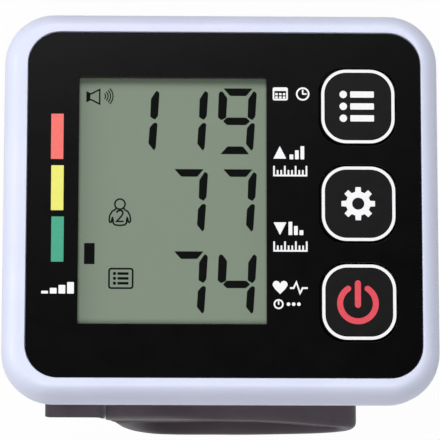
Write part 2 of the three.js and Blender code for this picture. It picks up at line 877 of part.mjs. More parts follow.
// Release valve: a coil body on the board, with a sprung plunger towards the back
const valveLeft = valveX - valveWidth / 2;
const valveMiddle = (valveFront + valveBack) / 2;
const stemFront = valveFront + overrun;
const springFront = valveBack + fitGap;
const headFront = springFront + valveSpringLength + fitGap;
add(
  "valve_body",
  cut(
    join(
      block(
        valveLeft, valveX + valveWidth / 2, valveY - valveWidth / 2, valveY + valveWidth / 2,
        valveFront, valveBack,
      ),
      barX(nippleRadius, valveLeft - nippleLength, valveX, valveY, valveMiddle, smallSides),
    ),
    barZ(stemRadius + stemGap, stemFront - stemRoom, valveBack + overrun, valveX, valveY, smallSides),
  ),
  darkPlastic,
);
add(
  "valve_plunger",
  join(
    barZ(stemRadius, stemFront + overrun, headFront + valveHeadThick, valveX, valveY, smallSides),
    barZ(valveHeadRadius, headFront, headFront + valveHeadThick, valveX, valveY),
  ),
  brightSteel,
);
add(
  "valve_spring",
  coil(valveSpringRadius, valveSpringWire, valveSpringLength, valveSpringTurns)
    .translate(valveX, valveY, zOf(springFront + valveSpringLength)),
  brightSteel,
);

// Pressure sensor on the board, with its nipple to the right
const sensorMiddle = partFront + sensorThick / 2;
add(
  "pressure_sensor",
  join(
    block(
      sensorX - sensorSize / 2, sensorX + sensorSize / 2, sensorY - sensorSize / 2, sensorY + sensorSize / 2,
      partFront, partFront + sensorThick,
    ),
    barX(nippleRadius, sensorX, sensorX + sensorSize / 2 + nippleLength, sensorY, sensorMiddle, smallSides),
  ),
  greyPlastic,
);

// Air manifold: a pipe along Y with nipples to the pump, the valve, the sensor and the cuff
const manifoldLeft = manifoldX - manifoldRadius - nippleLength;
const manifoldRight = manifoldX + manifoldRadius + nippleLength;
const manifoldBody = join(
  barY(manifoldRadius, manifoldLow, manifoldHigh, manifoldX, manifoldDepth),
  barX(nippleRadius, manifoldX, manifoldRight, outletY, manifoldDepth, smallSides),
  barX(nippleRadius, manifoldX, manifoldRight, valveY, manifoldDepth, smallSides),
  barX(nippleRadius, manifoldLeft, manifoldX, sensorY, manifoldDepth, smallSides),
  barX(nippleRadius, manifoldLeft, manifoldX, inletY, manifoldDepth, smallSides),
);
add("air_manifold", manifoldBody, greyPlastic);

const sideLeft = manifoldX - manifoldRadius - runGap;
const sideRight = manifoldX + manifoldRadius + runGap;
const sensorSide = sensorX + sensorSize / 2 + runGap;
const betweenHoses = (start, startDepth, end, endDepth, y) => {
  const middle = (start + end) / 2;
  return [[start, y, startDepth], [middle, y, startDepth], [middle, y, endDepth], [end, y, endDepth]];
};
add(
  "pump_hose",
  hose(betweenHoses(sideRight, manifoldDepth, headLeft - runGap, pumpDepth, outletY), 1),
  hoseClear,
);
add(
  "valve_hose",
  hose(betweenHoses(sideRight, manifoldDepth, valveLeft - runGap, valveMiddle, valveY)),
  hoseClear,
);
add(
  "sensor_hose",
  hose(betweenHoses(sensorSide, sensorMiddle, sideLeft, manifoldDepth, sensorY)),
  hoseClear,
);
add(
  "cuff_hose",
  hose([
    [inletX, inletY, rearWallFront - runGap],
    [inletX, inletY, manifoldDepth],
    [(inletX + sideLeft) / 2, inletY, manifoldDepth],
    [sideLeft, inletY, manifoldDepth],
  ]),
  hoseClear,
);

// Cuff plate: it lies on the casing's back, its clips pass the wall, and its nipple leads into the bladder
const clips = clipPlaces().flatMap(([x, y]) => {
  const side = Math.sign(y);
  const tip = rearWallFront - fitGap;
  const hookLow = side > 0 ? y - plateThick / 2 : y - plateThick;
  return [
    block(
      x - clipWidth / 2, x + clipWidth / 2, y - plateThick / 2, y + plateThick / 2,
      rearWallFront - clipTall, layerFront + plateThick / 2,
    ),
    block(
      x - clipWidth / 2, x + clipWidth / 2, hookLow, hookLow + clipHook,
      rearWallFront - clipTall, tip,
    ),
  ];
});
const plateNippleBack = pouchFront + fabricWall + runGap;
const cuffPlate = join(
  block(plateLeft, plateRight, -plateHeight / 2, plateHeight / 2, layerFront, layerFront + plateThick),
  barZ(nippleRadius, inletTopDepth, plateNippleBack, inletX, inletY, smallSides),
  ...clips,
);
add("cuff_plate", cuffPlate, darkPlastic);

// Front layer of the cuff: a thick pouch at the left that thins out and curves to the fold at the right.
// Each row holds X and depth, as shares of the fold's X and of the cuff's depth, and the thickness as a
// share of the pouch's, up to the thin layer that runs to the fold.
const pouchMiddle = pouchFront + pouchThick / 2;
const thinShare = layerThick / pouchThick;
const frontShares = [
  [-0.8, 0, 0.78],
  [-0.79, 0, 0.9],
  [-0.765, 0, 0.97],
  [-0.68, 0, 1],
  [-0.5, 0, 1],
  [-0.36, 0, 0.97],
  [-0.26, 0, 0.8],
  [-0.15, 0, 0.56],
  [-0.02, 0, thinShare],
  [0.16, 0.012, thinShare],
  [0.34, 0.05, thinShare],
  [0.52, 0.13, thinShare],
  [0.71, 0.245, thinShare],
  [0.86, 0.33, thinShare],
];
const foldMiddleX = cuffHalf - layerThick / 2;
const frontRows = [
  ...frontShares.map(([x, depth, thick]) => [
    x * cuffHalf, pouchMiddle + depth * cuffDepth, thick * pouchThick,
  ]),
  [foldMiddleX, foldDepth - layerThick / 2, layerThick],
  [foldMiddleX, foldDepth - foldGap / 2, layerThick],
];
const rowsDeeper = (rows, extra) => {
  const [x, depth, thick] = rows[rows.length - 1];
  return [...rows, [x, depth + extra, thick]];
};
const nippleHole = barZ(nippleRadius + runGap, casingDepth, pouchMiddle, inletX, inletY, smallSides);
const cavityWidth = cuffWidth - 2 * bladderMargin;
add(
  "cuff_front_layer",
  cut(
    solidOf(drawnLayer(frontRows, cuffWidth, hemRound)),
    drawnLayer(rowsDeeper(frontRows, overrun), cavityWidth, 0, fabricWall),
    nippleHole,
  ),
  cuffFabric,
);
const bladder = drawnLayer(frontRows.slice(1, -1), cavityWidth - 2 * runGap, 0, fabricWall + 2 * fitGap);
add("air_bladder", cut(solidOf(bladder), nippleHole), bladderFilm);

// Thin strip that is sewn to the pouch's front and runs out to the left, with its loop tape
add(
  "cuff_strip",
  block(stripLeft, stripRight, -cuffWidth / 2, cuffWidth / 2, layerFront, layerFront + stripThick),
  cuffFabric,
);
const loopFront = layerFront + stripThick + fitGap / 2;
const tapeLeft = stripLeft + tapeThick;
add(
  "loop_tape",
  block(tapeLeft, tapeRight, -tapeWidth / 2, tapeWidth / 2, loopFront, loopFront + tapeThick),
  tapeFabric,
);

// Rear layer: from the fold round the back, flat where it rests, and up to the pouch's left end.
// Its rows are read as the front layer's are, with depths from the fold and thicknesses of this layer.
const rearRun = totalDepth - rearThick / 2 - foldDepth;
const rearRise = foldDepth - pouchFront - pouchThick;
const rearShares = [
  [0.948, 0.19, 0.86],
  [0.915, 0.475, 1],
  [0.752, 0.742, 1],
  [0.454, 0.917, 1],
  [0.215, 1, 1],
  [0, 1, 1],
  [-0.3, 1, 1],
  [-0.45, 0.896, 1],
  [-0.562, 0.583, 1],
  [-0.636, 0.125, 1],
];
const endShares = [
  [-0.682, 0.45, 0.93],
  [-0.711, 0.143, 0.66],
];
const rearRows = [
  [foldMiddleX, foldDepth + foldGap / 2, layerThick],
  ...rearShares.map(([x, depth, thick]) => [x * cuffHalf, foldDepth + depth * rearRun, thick * rearThick]),
  ...endShares.map(([x, rise, thick]) => [
    x * cuffHalf, foldDepth - (1 - rise) * rearRise, thick * rearThick,
  ]),
];
const rearStart = [foldMiddleX, foldDepth - overrun, layerThick];
const stiffenerInset = (rearThick - stiffenerThick) / 2;
add(
  "cuff_rear_layer",
  cut(
    solidOf(drawnLayer(rearRows, cuffWidth, hemRound)),
    drawnLayer([rearStart, ...rearRows.slice(0, -1)], cavityWidth, 0, fabricWall),
  ),
  cuffFabric,
);
add(
  "cuff_stiffener",
  drawnLayer(rearRows.slice(2, -2), cavityWidth - 2 * runGap, 0, stiffenerInset),
  greyPlastic,
);

// Closing tab: from the rear layer round the pouch's left end to under the strip, with its hook tape
const hookFront = loopFront + tapeThick + fitGap;
const tabFront = hookFront + tapeThick + fitGap;
const tabBendShares = [
  [-0.771, 0.46],
  [-0.8, 0.34],
  [-0.851, 0.25],
  [-0.876, 0.15],
];
const tabEndShares = [-0.93, -1.02, -1.1];
const tabRows = [
  ...tabBendShares.map(([x, depth]) => [x * cuffHalf, casingDepth + depth * cuffDepth, tabThick]),
  ...tabEndShares.map((x) => [x * cuffHalf, tabFront + tabThick / 2, tabThick]),
  [tapeLeft, tabFront + tabThick / 2, tabThick],
];
add("closing_tab", drawnLayer(tabRows, tabWidth), cuffFabric);
add(
  "hook_tape",
  block(tapeLeft, -cuffHalf, -tapeWidth / 2, tapeWidth / 2, hookFront, hookFront + tapeThick),
  tapeFabric,
);

export default monitor;
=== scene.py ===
"""Wrist blood pressure monitor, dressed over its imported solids.

Lengths are in millimetres until a piece is made, and heights are above the surface the cuff rests on.
"""
import bisect
import math

import bmesh
import bpy
from mathutils import Matrix, Vector, noise


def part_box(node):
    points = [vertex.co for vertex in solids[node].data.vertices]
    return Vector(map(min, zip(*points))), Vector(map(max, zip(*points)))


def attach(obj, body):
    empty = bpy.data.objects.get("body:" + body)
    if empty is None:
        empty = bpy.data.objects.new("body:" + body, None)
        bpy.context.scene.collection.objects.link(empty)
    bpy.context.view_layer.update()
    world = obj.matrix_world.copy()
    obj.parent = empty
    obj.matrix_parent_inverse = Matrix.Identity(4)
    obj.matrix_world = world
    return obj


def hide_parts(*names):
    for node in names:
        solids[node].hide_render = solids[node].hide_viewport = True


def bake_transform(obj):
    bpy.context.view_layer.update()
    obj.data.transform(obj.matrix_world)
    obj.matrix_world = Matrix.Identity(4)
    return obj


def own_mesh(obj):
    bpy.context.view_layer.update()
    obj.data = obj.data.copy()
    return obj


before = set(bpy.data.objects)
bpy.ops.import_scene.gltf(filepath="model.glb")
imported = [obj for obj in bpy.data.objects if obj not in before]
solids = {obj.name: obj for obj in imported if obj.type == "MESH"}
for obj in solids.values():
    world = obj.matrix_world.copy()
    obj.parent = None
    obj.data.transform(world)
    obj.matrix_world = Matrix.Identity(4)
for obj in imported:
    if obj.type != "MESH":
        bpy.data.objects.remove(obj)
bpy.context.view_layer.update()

MM = 0.001

# Heights: the rim, the keys, the panel, the display, the join of the two casings and the back
RIM = 55.0
KEY_TOP = RIM - 0.2
PANEL_TOP = RIM - 0.5
DISPLAY_TOP = RIM - 2.2
JOIN = RIM - 9.15
BACK = RIM - 24

# The casing's half sizes at its widest and at its join
FACE_X, FACE_Y = 35.9, 32.4
SIDE_X, SIDE_Y = 35.63, 32.13
SIDE_CORNER = 8.03
WALL = 1.6
TAPER = 1.6

# Places seen from the front
PANEL_PLACE = (0.5, -0.04)
WINDOW_X = -7.97
DOOR_X = -37
KEY_X = 22.4
KEYS = {"memory_key": 16.25, "set_key": 0.0, "power_key": -16.25}
SCREWS = ((-5.5, 26.6), (28, 26.6), (28, -26.6), (-5.5, -26.6))
BORE = 1.1

# How far a print stands over its surface, and one mark over another that it crosses
PRINT = 0.04
OVER = 0.005


# Working with pieces

def set_all(target, **values):
    for key, value in values.items():
        setattr(target, key, value)


def start():
    bpy.ops.object.select_all(action="DESELECT")


def choose(piece):
    start()
    piece.select_set(True)
    bpy.context.view_layer.objects.active = piece


def edit(piece):
    """Opens the piece for editing, with every face selected."""
    choose(piece)
    bpy.ops.object.mode_set(mode="EDIT")
    bpy.ops.mesh.select_mode(type="FACE")
    bpy.ops.mesh.select_all(action="SELECT")


def leave():
    bpy.ops.object.mode_set(mode="OBJECT")


def pick(piece, kind, test):
    """Opens the piece for editing, with the faces, edges or verts selected that pass the test."""
    edit(piece)
    bpy.ops.mesh.select_mode(type=kind[:-1].upper())
    bpy.ops.mesh.select_all(action="DESELECT")
    shape = bmesh.from_edit_mesh(piece.data)
    for part in getattr(shape, kind):
        if test(part):
            part.select_set(True)
    shape.select_flush_mode()
    bmesh.update_edit_mesh(piece.data)


def rename(piece, name):
    piece.name = name
    piece.data.name = name
    return piece


def fix_place(piece, name):
    """Moves the object's place and size into its mesh, and names it."""
    choose(piece)
    bpy.ops.object.transform_apply(location=True, rotation=True, scale=True)
    return rename(piece, name)


def add_object(name, data):
    made = bpy.data.objects.new(name, data)
    bpy.context.scene.collection.objects.link(made)
    return made


def modify(piece, kind, **settings):
    """Changes the mesh by one modifier."""
    change = piece.modifiers.new(kind.lower(), kind)
    set_all(change, **settings)
    choose(piece)
    bpy.ops.object.modifier_apply(modifier=change.name)


def facing_out(piece):
    edit(piece)
    bpy.ops.mesh.remove_doubles(threshold=0.002 * MM)
    bpy.ops.mesh.normals_make_consistent(inside=False)
    leave()


def round_edges(piece, test, width, steps):
    """Rounds the edges that pass the test."""
    pick(piece, "edges", test)
    bpy.ops.mesh.bevel(offset=width * MM, segments=steps, affect="EDGES")
    leave()


def upright(edge):
    a, b = (v.co for v in edge.verts)
    return abs(a.z - b.z) > 10 * max(abs(a.x - b.x), abs(a.y - b.y))


def block(name, width, height, thick, x, y, top, corner=0.0, steps=8):
    """A block whose four upright edges are rounded."""
    start()
    bpy.ops.mesh.primitive_cube_add(
        size=1, location=(x * MM, y * MM, (top - thick / 2) * MM), scale=(width * MM, height * MM, thick * MM),
    )
    piece = fix_place(bpy.context.object, name)
    if corner:
        round_edges(piece, upright, corner, steps)
    return piece


def post(name, radius, x, y, low, high, sides=32):
    start()
    bpy.ops.mesh.primitive_cylinder_add(
        vertices=sides, radius=radius * MM, depth=(high - low) * MM,
        location=(x * MM, y * MM, (low + high) / 2 * MM),
    )
    return fix_place(bpy.context.object, name)


def step_in(piece, rings, way):
    """Grows the top face (way 1) or the bottom face (way -1) by rings of inset and rise."""
    end = max(v.co.z * way for v in piece.data.vertices) - 1e-6
    pick(piece, "faces", lambda face: face.normal.z * way > 0.9 and face.calc_center_median().z * way > end)
    for inward, rise in rings:
        bpy.ops.mesh.inset(thickness=inward * MM, depth=rise * MM)
    leave()


def quarter_round(inward, rise, steps):
    """Rings that round an edge over."""
    turns = [math.pi / 2 * step / steps for step in range(steps + 1)]
    return [(inward * (math.cos(near) - math.cos(far)), rise * (math.sin(far) - math.sin(near)))
            for near, far in zip(turns, turns[1:])]


def combine(piece, tools, way="DIFFERENCE"):
    """Cuts the tools out of the piece, joins them to it or keeps what both hold."""
    for tool in tools:
        modify(piece, "BOOLEAN", operation=way, solver="EXACT", object=tool)
        bpy.data.objects.remove(tool)


def copy_at(model, name, place, turn=0.0, axis="Z"):
    """A copy of the model, turned about the origin and then moved."""
    twin = add_object(name, model.data.copy())
    twin.data.name = name
    twin.data.transform(Matrix.Translation([v * MM for v in place]) @ Matrix.Rotation(turn, 4, axis))
    return twin


def weld(name, pieces):
    """Joins pieces into one object."""
    choose(pieces[0])
    for piece in pieces:
        piece.select_set(True)
    if len(pieces) > 1:
        bpy.ops.object.join()
    return rename(pieces[0], name)


def soften(piece, width, steps=2, angle=40):
    """Rounds every edge sharper than the angle."""
    modify(piece, "BEVEL", width=width * MM, segments=steps, limit_method="ANGLE",
           angle_limit=math.radians(angle))


def smooth(piece, angle=35):
    """Smooth shading with edges kept sharp past the angle, and with large flats kept flat."""
    choose(piece)
    bpy.ops.object.shade_smooth_by_angle(angle=math.radians(angle))
    modify(piece, "WEIGHTED_NORMAL", keep_sharp=True)


def wire(name, spots, radius, steps):
    """A round wire with closed ends along spots, all in metres."""
    curve = bpy.data.curves.new(name, "CURVE")
    set_all(curve, dimensions="3D", bevel_depth=radius, bevel_resolution=steps, use_fill_caps=True)
    strand = curve.splines.new("POLY")
    strand.points.add(len(spots) - 1)
    for point, spot in zip(strand.points, spots):
        point.co = (*spot, 1)
    choose(add_object(name, curve))
    bpy.ops.object.convert(target="MESH")
    bpy.ops.object.shade_smooth()
    return bpy.context.object


def paint(piece, finish):
    piece.data.materials.clear()
    piece.data.materials.append(finish)


def dress(piece, finish, body="monitor", stands_for=None):
    """Gives a finished piece its material and body, and hides the solid it stands for."""
    paint(piece, finish)
    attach(piece, body)
    if stands_for:
        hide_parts(stands_for)


# Materials

def tint(red, green, blue):
    """A colour given as 0 to 255, as a shader takes it."""
    values = [c / 255 for c in (red, green, blue)]
    return [v / 12.92 if v <= 0.04045 else ((v + 0.055) / 1.055) ** 2.4 for v in values] + [1.0]


def feed(tree, node, inputs):
    """Gives a node's inputs their values, or links them where a value is another node's output."""
    for key, value in inputs.items():
        if isinstance(value, bpy.types.NodeSocket):
            tree.links.new(value, node.inputs[key])
        else:
            node.inputs[key].default_value = value


def add_node(tree, kind, inputs=None, **settings):
    made = tree.nodes.new("ShaderNode" + kind)
    set_all(made, **settings)
    feed(tree, made, inputs or {})
    return made


def end_in_mix(tree, output, share, under, over):
    """Ends a node tree in one shader under a share of another."""
    mix = add_node(tree, "MixShader", {0: share, 1: under.outputs[0], 2: over.outputs[0]})
    feed(tree, tree.nodes[output], {"Surface": mix.outputs[0]})


class Finish:
    """One material with a few helpers that read the piece's own coordinates."""

    def __init__(self, name, **values):
        self.material = bpy.data.materials.new(name)
        self.material.use_nodes = True
        self.tree = self.material.node_tree
        self.shader = self.tree.nodes["Principled BSDF"]
        self.place = self.node("TexCoord").outputs["Object"]
        self.set(**values)

    def set(self, **values):
        """Feeds the shader's inputs, whose names have a _ for each space here."""
        feed(self.tree, self.shader, {key.replace("_", " "): value for key, value in values.items()})

    def node(self, kind, inputs=None, **settings):
        return add_node(self.tree, kind, inputs, **settings)

    def along(self, axis):
        return self.node("SeparateXYZ", {0: self.place}).outputs[axis]

    def noise(self, scale, detail, place=None):
        inputs = {"Scale": scale, "Detail": detail, "Vector": place or self.place}
        return self.node("TexNoise", inputs).outputs["Fac"]

    def wave(self, scale, direction, place=None, distort=0.0):
        inputs = {"Scale": scale, "Distortion": distort, "Vector": place or self.place}
        return self.node("TexWave", inputs, bands_direction=direction).outputs["Fac"]

    def math(self, operation, first, second):
        return self.node("Math", {0: first, 1: second}, operation=operation).outputs[0]

    def spread(self, factor, low, high):
        return self.node("MapRange", {"To Min": low, "To Max": high, "Value": factor}).outputs["Result"]

    def colour(self, factor, dark, light, low=0.3, high=0.7):
        ramp = self.node("ValToRGB", {"Fac": factor})
        for element, position, shade in zip(ramp.color_ramp.elements, (low, high), (dark, light)):
            set_all(element, position=position, color=tint(*shade))
        self.set(Base_Color=ramp.outputs["Color"])

    def roughness(self, factor, low, high):
        self.set(Roughness=self.spread(factor, low, high))

    def relief(self, height, depth, strength=1.0):
        bump = self.node("Bump", {"Strength": strength, "Distance": depth * MM, "Height": height})
        self.set(Normal=bump.outputs["Normal"])


def even(name, drift, dark, light, gloss, rough, grain, depth, ends=(0.3, 0.7), **values):
    """A little colour drift, uneven gloss and a fine grain, each given as a noise's scale and detail."""
    finish = Finish(name, **values)
    finish.colour(finish.noise(*drift), dark, light, *ends)
    finish.roughness(finish.noise(*gloss), *rough)
    finish.relief(finish.noise(*grain), depth)
    return finish.material


def moulded(name, dark, light, rough_low, rough_high, depth=0.012, grain=4200):
    """Moulded plastic."""
    return even(name, (90, 4), dark, light, (450, 3), (rough_low, rough_high), (grain, 2), depth)


def printed(name, dark, light, rough=0.4, gloss=0.15):
    """Printing ink: nearly even, and mottled more finely than plastic."""
    return even(name, (1500, 3), dark, light, (900, 2), (rough - 0.05, rough + 0.08), (5000, 2), 0.003,
                (0.25, 0.75), Specular_IOR_Level=gloss)


def plated(name, dark, light, rough_low, rough_high):
    """Bright metal with fine drawn lines."""
    finish = Finish(name, Metallic=1.0)
    drawn = finish.node("Mapping", {"Scale": (60, 3500, 3500), "Vector": finish.place}).outputs["Vector"]
    lines = finish.noise(1.0, 3, drawn)
    finish.colour(lines, dark, light)
    finish.roughness(lines, rough_low, rough_high)
    finish.relief(lines, 0.004)
    return finish.material


def clear_window():
    """A clear lens: light passes, and a faint gloss stays on it."""
    finish = Finish("window_clear")
    gloss = finish.node("BsdfGlossy", {"Roughness": finish.spread(finish.noise(160, 3), 0.03, 0.09)})
    facing = finish.node("LayerWeight", {"Blend": 0.5}).outputs["Facing"]
    slant = finish.math("MULTIPLY", finish.math("POWER", facing, 5.0), 0.7)
    share = finish.math("ADD", slant, 0.007)
    end_in_mix(finish.tree, "Material Output", share, finish.node("BsdfTransparent"), gloss)
    finish.tree.nodes.remove(finish.shader)
    return finish.material


def display_face():
    """Grey-green reflective glass, with a painted shadow: a dark band under the window's upper edge, where that
    edge's shade falls.
    """
    finish = Finish("display_face", Specular_IOR_Level=0.2)
    # Painted shadow: the face turns darker towards its top edge, standing in for the shade of the window's
    # upper edge.
    band = {"From Min": 18.9 * MM, "From Max": 21.1 * MM, "Value": finish.along("Y")}
    edge = finish.node("MapRange", band, interpolation_type="SMOOTHSTEP").outputs["Result"]
    drift = finish.math("MULTIPLY", finish.noise(60, 3), 0.06)
    finish.colour(finish.math("ADD", edge, drift), (131, 145, 127), (110, 122, 106), 0.0, 1.0)
    finish.roughness(finish.noise(2500, 2), 0.42, 0.55)
    finish.relief(finish.noise(6000, 2), 0.003)
    return finish.material


def woven(name, dark, light, pitch=0.45, depth=0.035, fuzz=0.35):
    """Cloth whose threads cross along the piece's own UV, which is laid out in metres."""
    finish = Finish(name, Sheen_Weight=0.25, Sheen_Roughness=0.5, Specular_IOR_Level=0.2)
    cloth = finish.node("UVMap", uv_map="thread").outputs["UV"]
    bands = math.tau / (pitch * MM) / 20
    warp, weft = (finish.wave(bands, way, cloth, 0.6) for way in "XY")
    fluff = finish.noise(2600, 4)
    height = finish.math("ADD", finish.math("MULTIPLY", warp, weft), finish.math("MULTIPLY", fluff, fuzz))
    drift = finish.math("MULTIPLY", finish.noise(70, 4), 0.85)
    finish.colour(finish.math("ADD", drift, finish.math("MULTIPLY", height, 0.12)), dark, light, 0.3, 0.75)
    finish.roughness(fluff, 0.82, 0.98)
    finish.relief(height, depth, 0.8)
    return finish.material


def pile(name, dark, light, scale):
    """Hook or loop tape: a dense pile of short hairs."""
    finish = Finish(name, Roughness=0.95, Specular_IOR_Level=0.15)
    hairs = finish.noise(scale, 5)
    finish.colour(hairs, dark, light, 0.35, 0.65)
    finish.relief(hairs, 0.18)
    return finish.material


def cell_wrap():
    """A plain printed sleeve with a pale band at both ends."""
    finish = Finish("cell_can", Metallic=0.3)
    band = finish.math("GREATER_THAN", finish.math("ABSOLUTE", finish.along("Y"), 0.0), 0.0125)
    drift = finish.math("MULTIPLY", finish.noise(200, 2), 0.1)
    finish.colour(finish.math("ADD", band, drift), (47, 86, 142), (196, 199, 204), 0.3, 0.8)
    finish.roughness(finish.noise(500, 3), 0.28, 0.42)
    finish.relief(finish.noise(900, 2), 0.004)
    return finish.material


def solder_board():
    """A green board with a pattern of paler tracks."""
    finish = Finish("board")
    tracks = finish.node("TexBrick", {"Scale": 260, "Color1": tint(24, 92, 58), "Color2": tint(28, 104, 66),
                                      "Mortar": tint(58, 132, 84), "Mortar Size": 0.04,
                                      "Vector": finish.place})
    finish.set(Base_Color=tracks.outputs["Color"])
    finish.roughness(finish.noise(800, 3), 0.3, 0.45)
    finish.relief(tracks.outputs["Fac"], 0.02)
    return finish.material


def striped_rubber():
    """Rubber with conducting stripes across it."""
    finish = Finish("contact_rubber", Roughness=0.7)
    stripes = finish.wave(180, "X")
    finish.colour(stripes, (40, 40, 42), (128, 130, 132), 0.45, 0.55)
    finish.relief(stripes, 0.01)
    return finish.material


casing_plastic = moulded("casing_plastic", (222, 227, 250), (227, 232, 253), 0.4, 0.48)
panel_gloss = even("panel_gloss", (120, 3), (0, 0, 1), (2, 2, 3), (260, 3), (0.25, 0.31), (900, 2), 0.0015,
                   Specular_IOR_Level=0.1)
key_plastic = even("key_face", (400, 3), (11, 11, 12), (17, 17, 18), (700, 3), (0.36, 0.46), (3800, 2), 0.004,
                   Specular_IOR_Level=0.12)
window_clear = clear_window()
display_glass = display_face()
white_print = printed("white_print", (248, 248, 250), (253, 253, 255))
red_print = printed("red_print", (226, 76, 90), (232, 86, 98))
coral_bar = printed("coral_bar", (246, 116, 109), (249, 123, 116))
yellow_bar = printed("yellow_bar", (237, 235, 115), (242, 240, 124))
green_bar = printed("green_bar", (70, 167, 134), (76, 173, 140))
segment_ink = printed("segment_ink", (8, 11, 9), (13, 16, 14), 0.6, 0.04)
grey_plastic = moulded("grey_plastic", (176, 177, 182), (190, 191, 196), 0.5, 0.62, 0.02, 2600)
dark_plastic = moulded("dark_plastic", (38, 38, 40), (48, 48, 50), 0.5, 0.62, 0.02, 2600)
board_green = solder_board()
rubber_stripes = striped_rubber()
steel = plated("steel", (186, 188, 192), (214, 216, 220), 0.22, 0.34)
brass = plated("contact_brass", (186, 150, 82), (214, 178, 104), 0.25, 0.38)
cell_can = cell_wrap()
hose_rubber = even("hose_rubber", (300, 3), (206, 212, 212), (222, 227, 226), (700, 2), (0.35, 0.5), (1800, 2),
                   0.01)
bladder_film = moulded("bladder_film", (42, 42, 46), (54, 54, 58), 0.35, 0.5, 0.02, 1400)
cuff_cloth = woven("cuff_cloth", (78, 70, 76), (101, 92, 98))
# The piping is real cloth, but its paler tone is a painted highlight along the hems, where their edge catches
# light.
hem_cloth_painted_highlight = woven("hem_cloth_painted_highlight", (98, 91, 95), (116, 109, 112), 0.4, 0.03, 0.2)
lining_cloth = woven("lining_cloth", (66, 60, 64), (84, 77, 82), 0.45, 0.04)
thread_cloth = moulded("stitch_thread", (52, 48, 51), (72, 67, 70), 0.7, 0.9, 0.03, 5000)
loop_pile = pile("loop_pile", (44, 41, 43), (70, 66, 69), 2400)
hook_pile = pile("hook_pile", (34, 32, 34), (60, 57, 59), 1700)


# Casing

def key_holes(width, height, thick, top, corner, steps):
    return [block("key_hole", width, height, thick, KEY_X, y, top, corner, steps) for y in KEYS.values()]


def front_casing():
    """The rim that rounds over to the side wall, with the panel's seat and the openings behind it."""
    wall_height, rise, inward = 3.4, 5.6, 2.9
    shell = block("front_casing_shell", 2 * FACE_X, 2 * FACE_Y, wall_height, 0, 0, RIM - rise, 8.3, 12)
    step_in(shell, quarter_round(inward, rise, 10), 1)
    low = (RIM - rise - wall_height) * MM
    pick(shell, "verts", lambda v: abs(v.co.z - low) < 1e-6)
    bpy.ops.transform.resize(value=(SIDE_X / FACE_X, SIDE_Y / FACE_Y, 1), center_override=(0, 0, low))
    leave()
    seat = block("seat", 64.7, 57.42, 6, *PANEL_PLACE, RIM - 1.8 + 6, 5.4, 12)
    hollow = block("hollow", 2 * (SIDE_X - WALL), 2 * (SIDE_Y - WALL), 10, 0, 0, RIM - 3.2, SIDE_CORNER - WALL)
    opening = block("opening", 34.6, 44.6, 8, WINDOW_X, 0.58, RIM - 1, 0.8, 3)
    combine(shell, [seat, hollow, opening, *key_holes(12.8, 13.1, 8, RIM - 1, 4.2, 8)])

    def round_seat(edge):
        return all(v.co.z > (RIM - 0.01) * MM and abs(v.co.x - 0.45 * MM) < 32.45 * MM
                   and abs(v.co.y) < 28.8 * MM for v in edge.verts)

    round_edges(shell, round_seat, 0.14, 3)
    sleeves = [post("sleeve", 2.2, x, y, RIM - 8.85, RIM - 2.4, 24) for x, y in SCREWS]
    for sleeve, (x, y) in zip(sleeves, SCREWS):
        combine(sleeve, [post("bore", BORE, x, y, RIM - 10, RIM - 3.3, 16)])
    shell = weld("front_casing_shell", [shell, *sleeves])
    smooth(shell, 30)
    dress(shell, casing_plastic, stands_for="front_casing")


def tapering_body(name, inset, low, top):
    """The rear casing's outline, drawn in by the inset, with its back edge rounded over."""
    start_height, rounding = 0.5, 2
    width, height = 2 * (SIDE_X - inset), 2 * (SIDE_Y - inset)
    body = block(name, width, height, start_height, 0, 0, top, SIDE_CORNER - inset, 12)
    fall = top - start_height - low - rounding
    step_in(body, [(TAPER, fall), *quarter_round(rounding, rounding, 6)], -1)
    return body


def rear_shell(name):
    """The hollow rear casing, which its battery cover is cut from too."""
    shell = tapering_body(name, 0, BACK, JOIN)
    combine(shell, [tapering_body("inside", WALL, BACK + WALL, JOIN + 1)])
    return shell


def rear_casing():
    below = BACK - 1
    shell = rear_shell("rear_casing_shell")
    combine(shell, [post("screw_post", 2.6, x, y, BACK, JOIN, 24) for x, y in SCREWS], "UNION")
    tools = [post("bore", BORE, x, y, below, JOIN + 1, 16) for x, y in SCREWS]
    tools += [post("counterbore", 1.8, x, y, below, RIM - 12.15) for x, y in SCREWS]
    tools.append(block("doorway", 12, 47.2, 11.1, DOOR_X, 0, RIM - 10.9))
    through, inlet_x = RIM - 21.4, -6.2
    tools.append(post("inlet_hole", 2.4, inlet_x, 0, below, through, 24))
    for x in (4, inlet_x):
        tools += [block("clip_hole", 5.6, 2.8, 3.6, x, y, through, 0.3, 3) for y in (14, -14)]
    combine(shell, tools)
    smooth(shell, 30)
    dress(shell, casing_plastic, stands_for="rear_casing")


def battery_cover():
    """The sliding door in the left wall, with its guides and thumb ribs."""
    cover = rear_shell("battery_cover_door")
    combine(cover, [block("door", 12, 46.7, 10.6, DOOR_X, 0, RIM - 11.15)], "INTERSECT")
    soften(cover, 0.2, 2, 50)
    ribs = []
    pitch, taper_height = 1.15, 13
    for number in range(5):
        height = RIM - 13.6 - number * pitch
        wall_x = TAPER * (JOIN - height) / taper_height - SIDE_X
        rib = block("rib", 0.7, 15 - 1.6 * abs(number - 2), 0.45, wall_x + 0.16, 0, height + 0.22)
        soften(rib, 0.14)
        ribs.append(rib)
    for middle, top in ((-33.2, RIM - 11.15), (-32.2, RIM - 20.85)):
        guide = block("guide", 3.0, 30, 0.9, middle, 0, top)
        soften(guide, 0.12)
        ribs.append(guide)
    cover = weld("battery_cover_door", [cover, *ribs])
    smooth(cover, 30)
    dress(cover, casing_plastic, "battery_cover", "battery_cover")


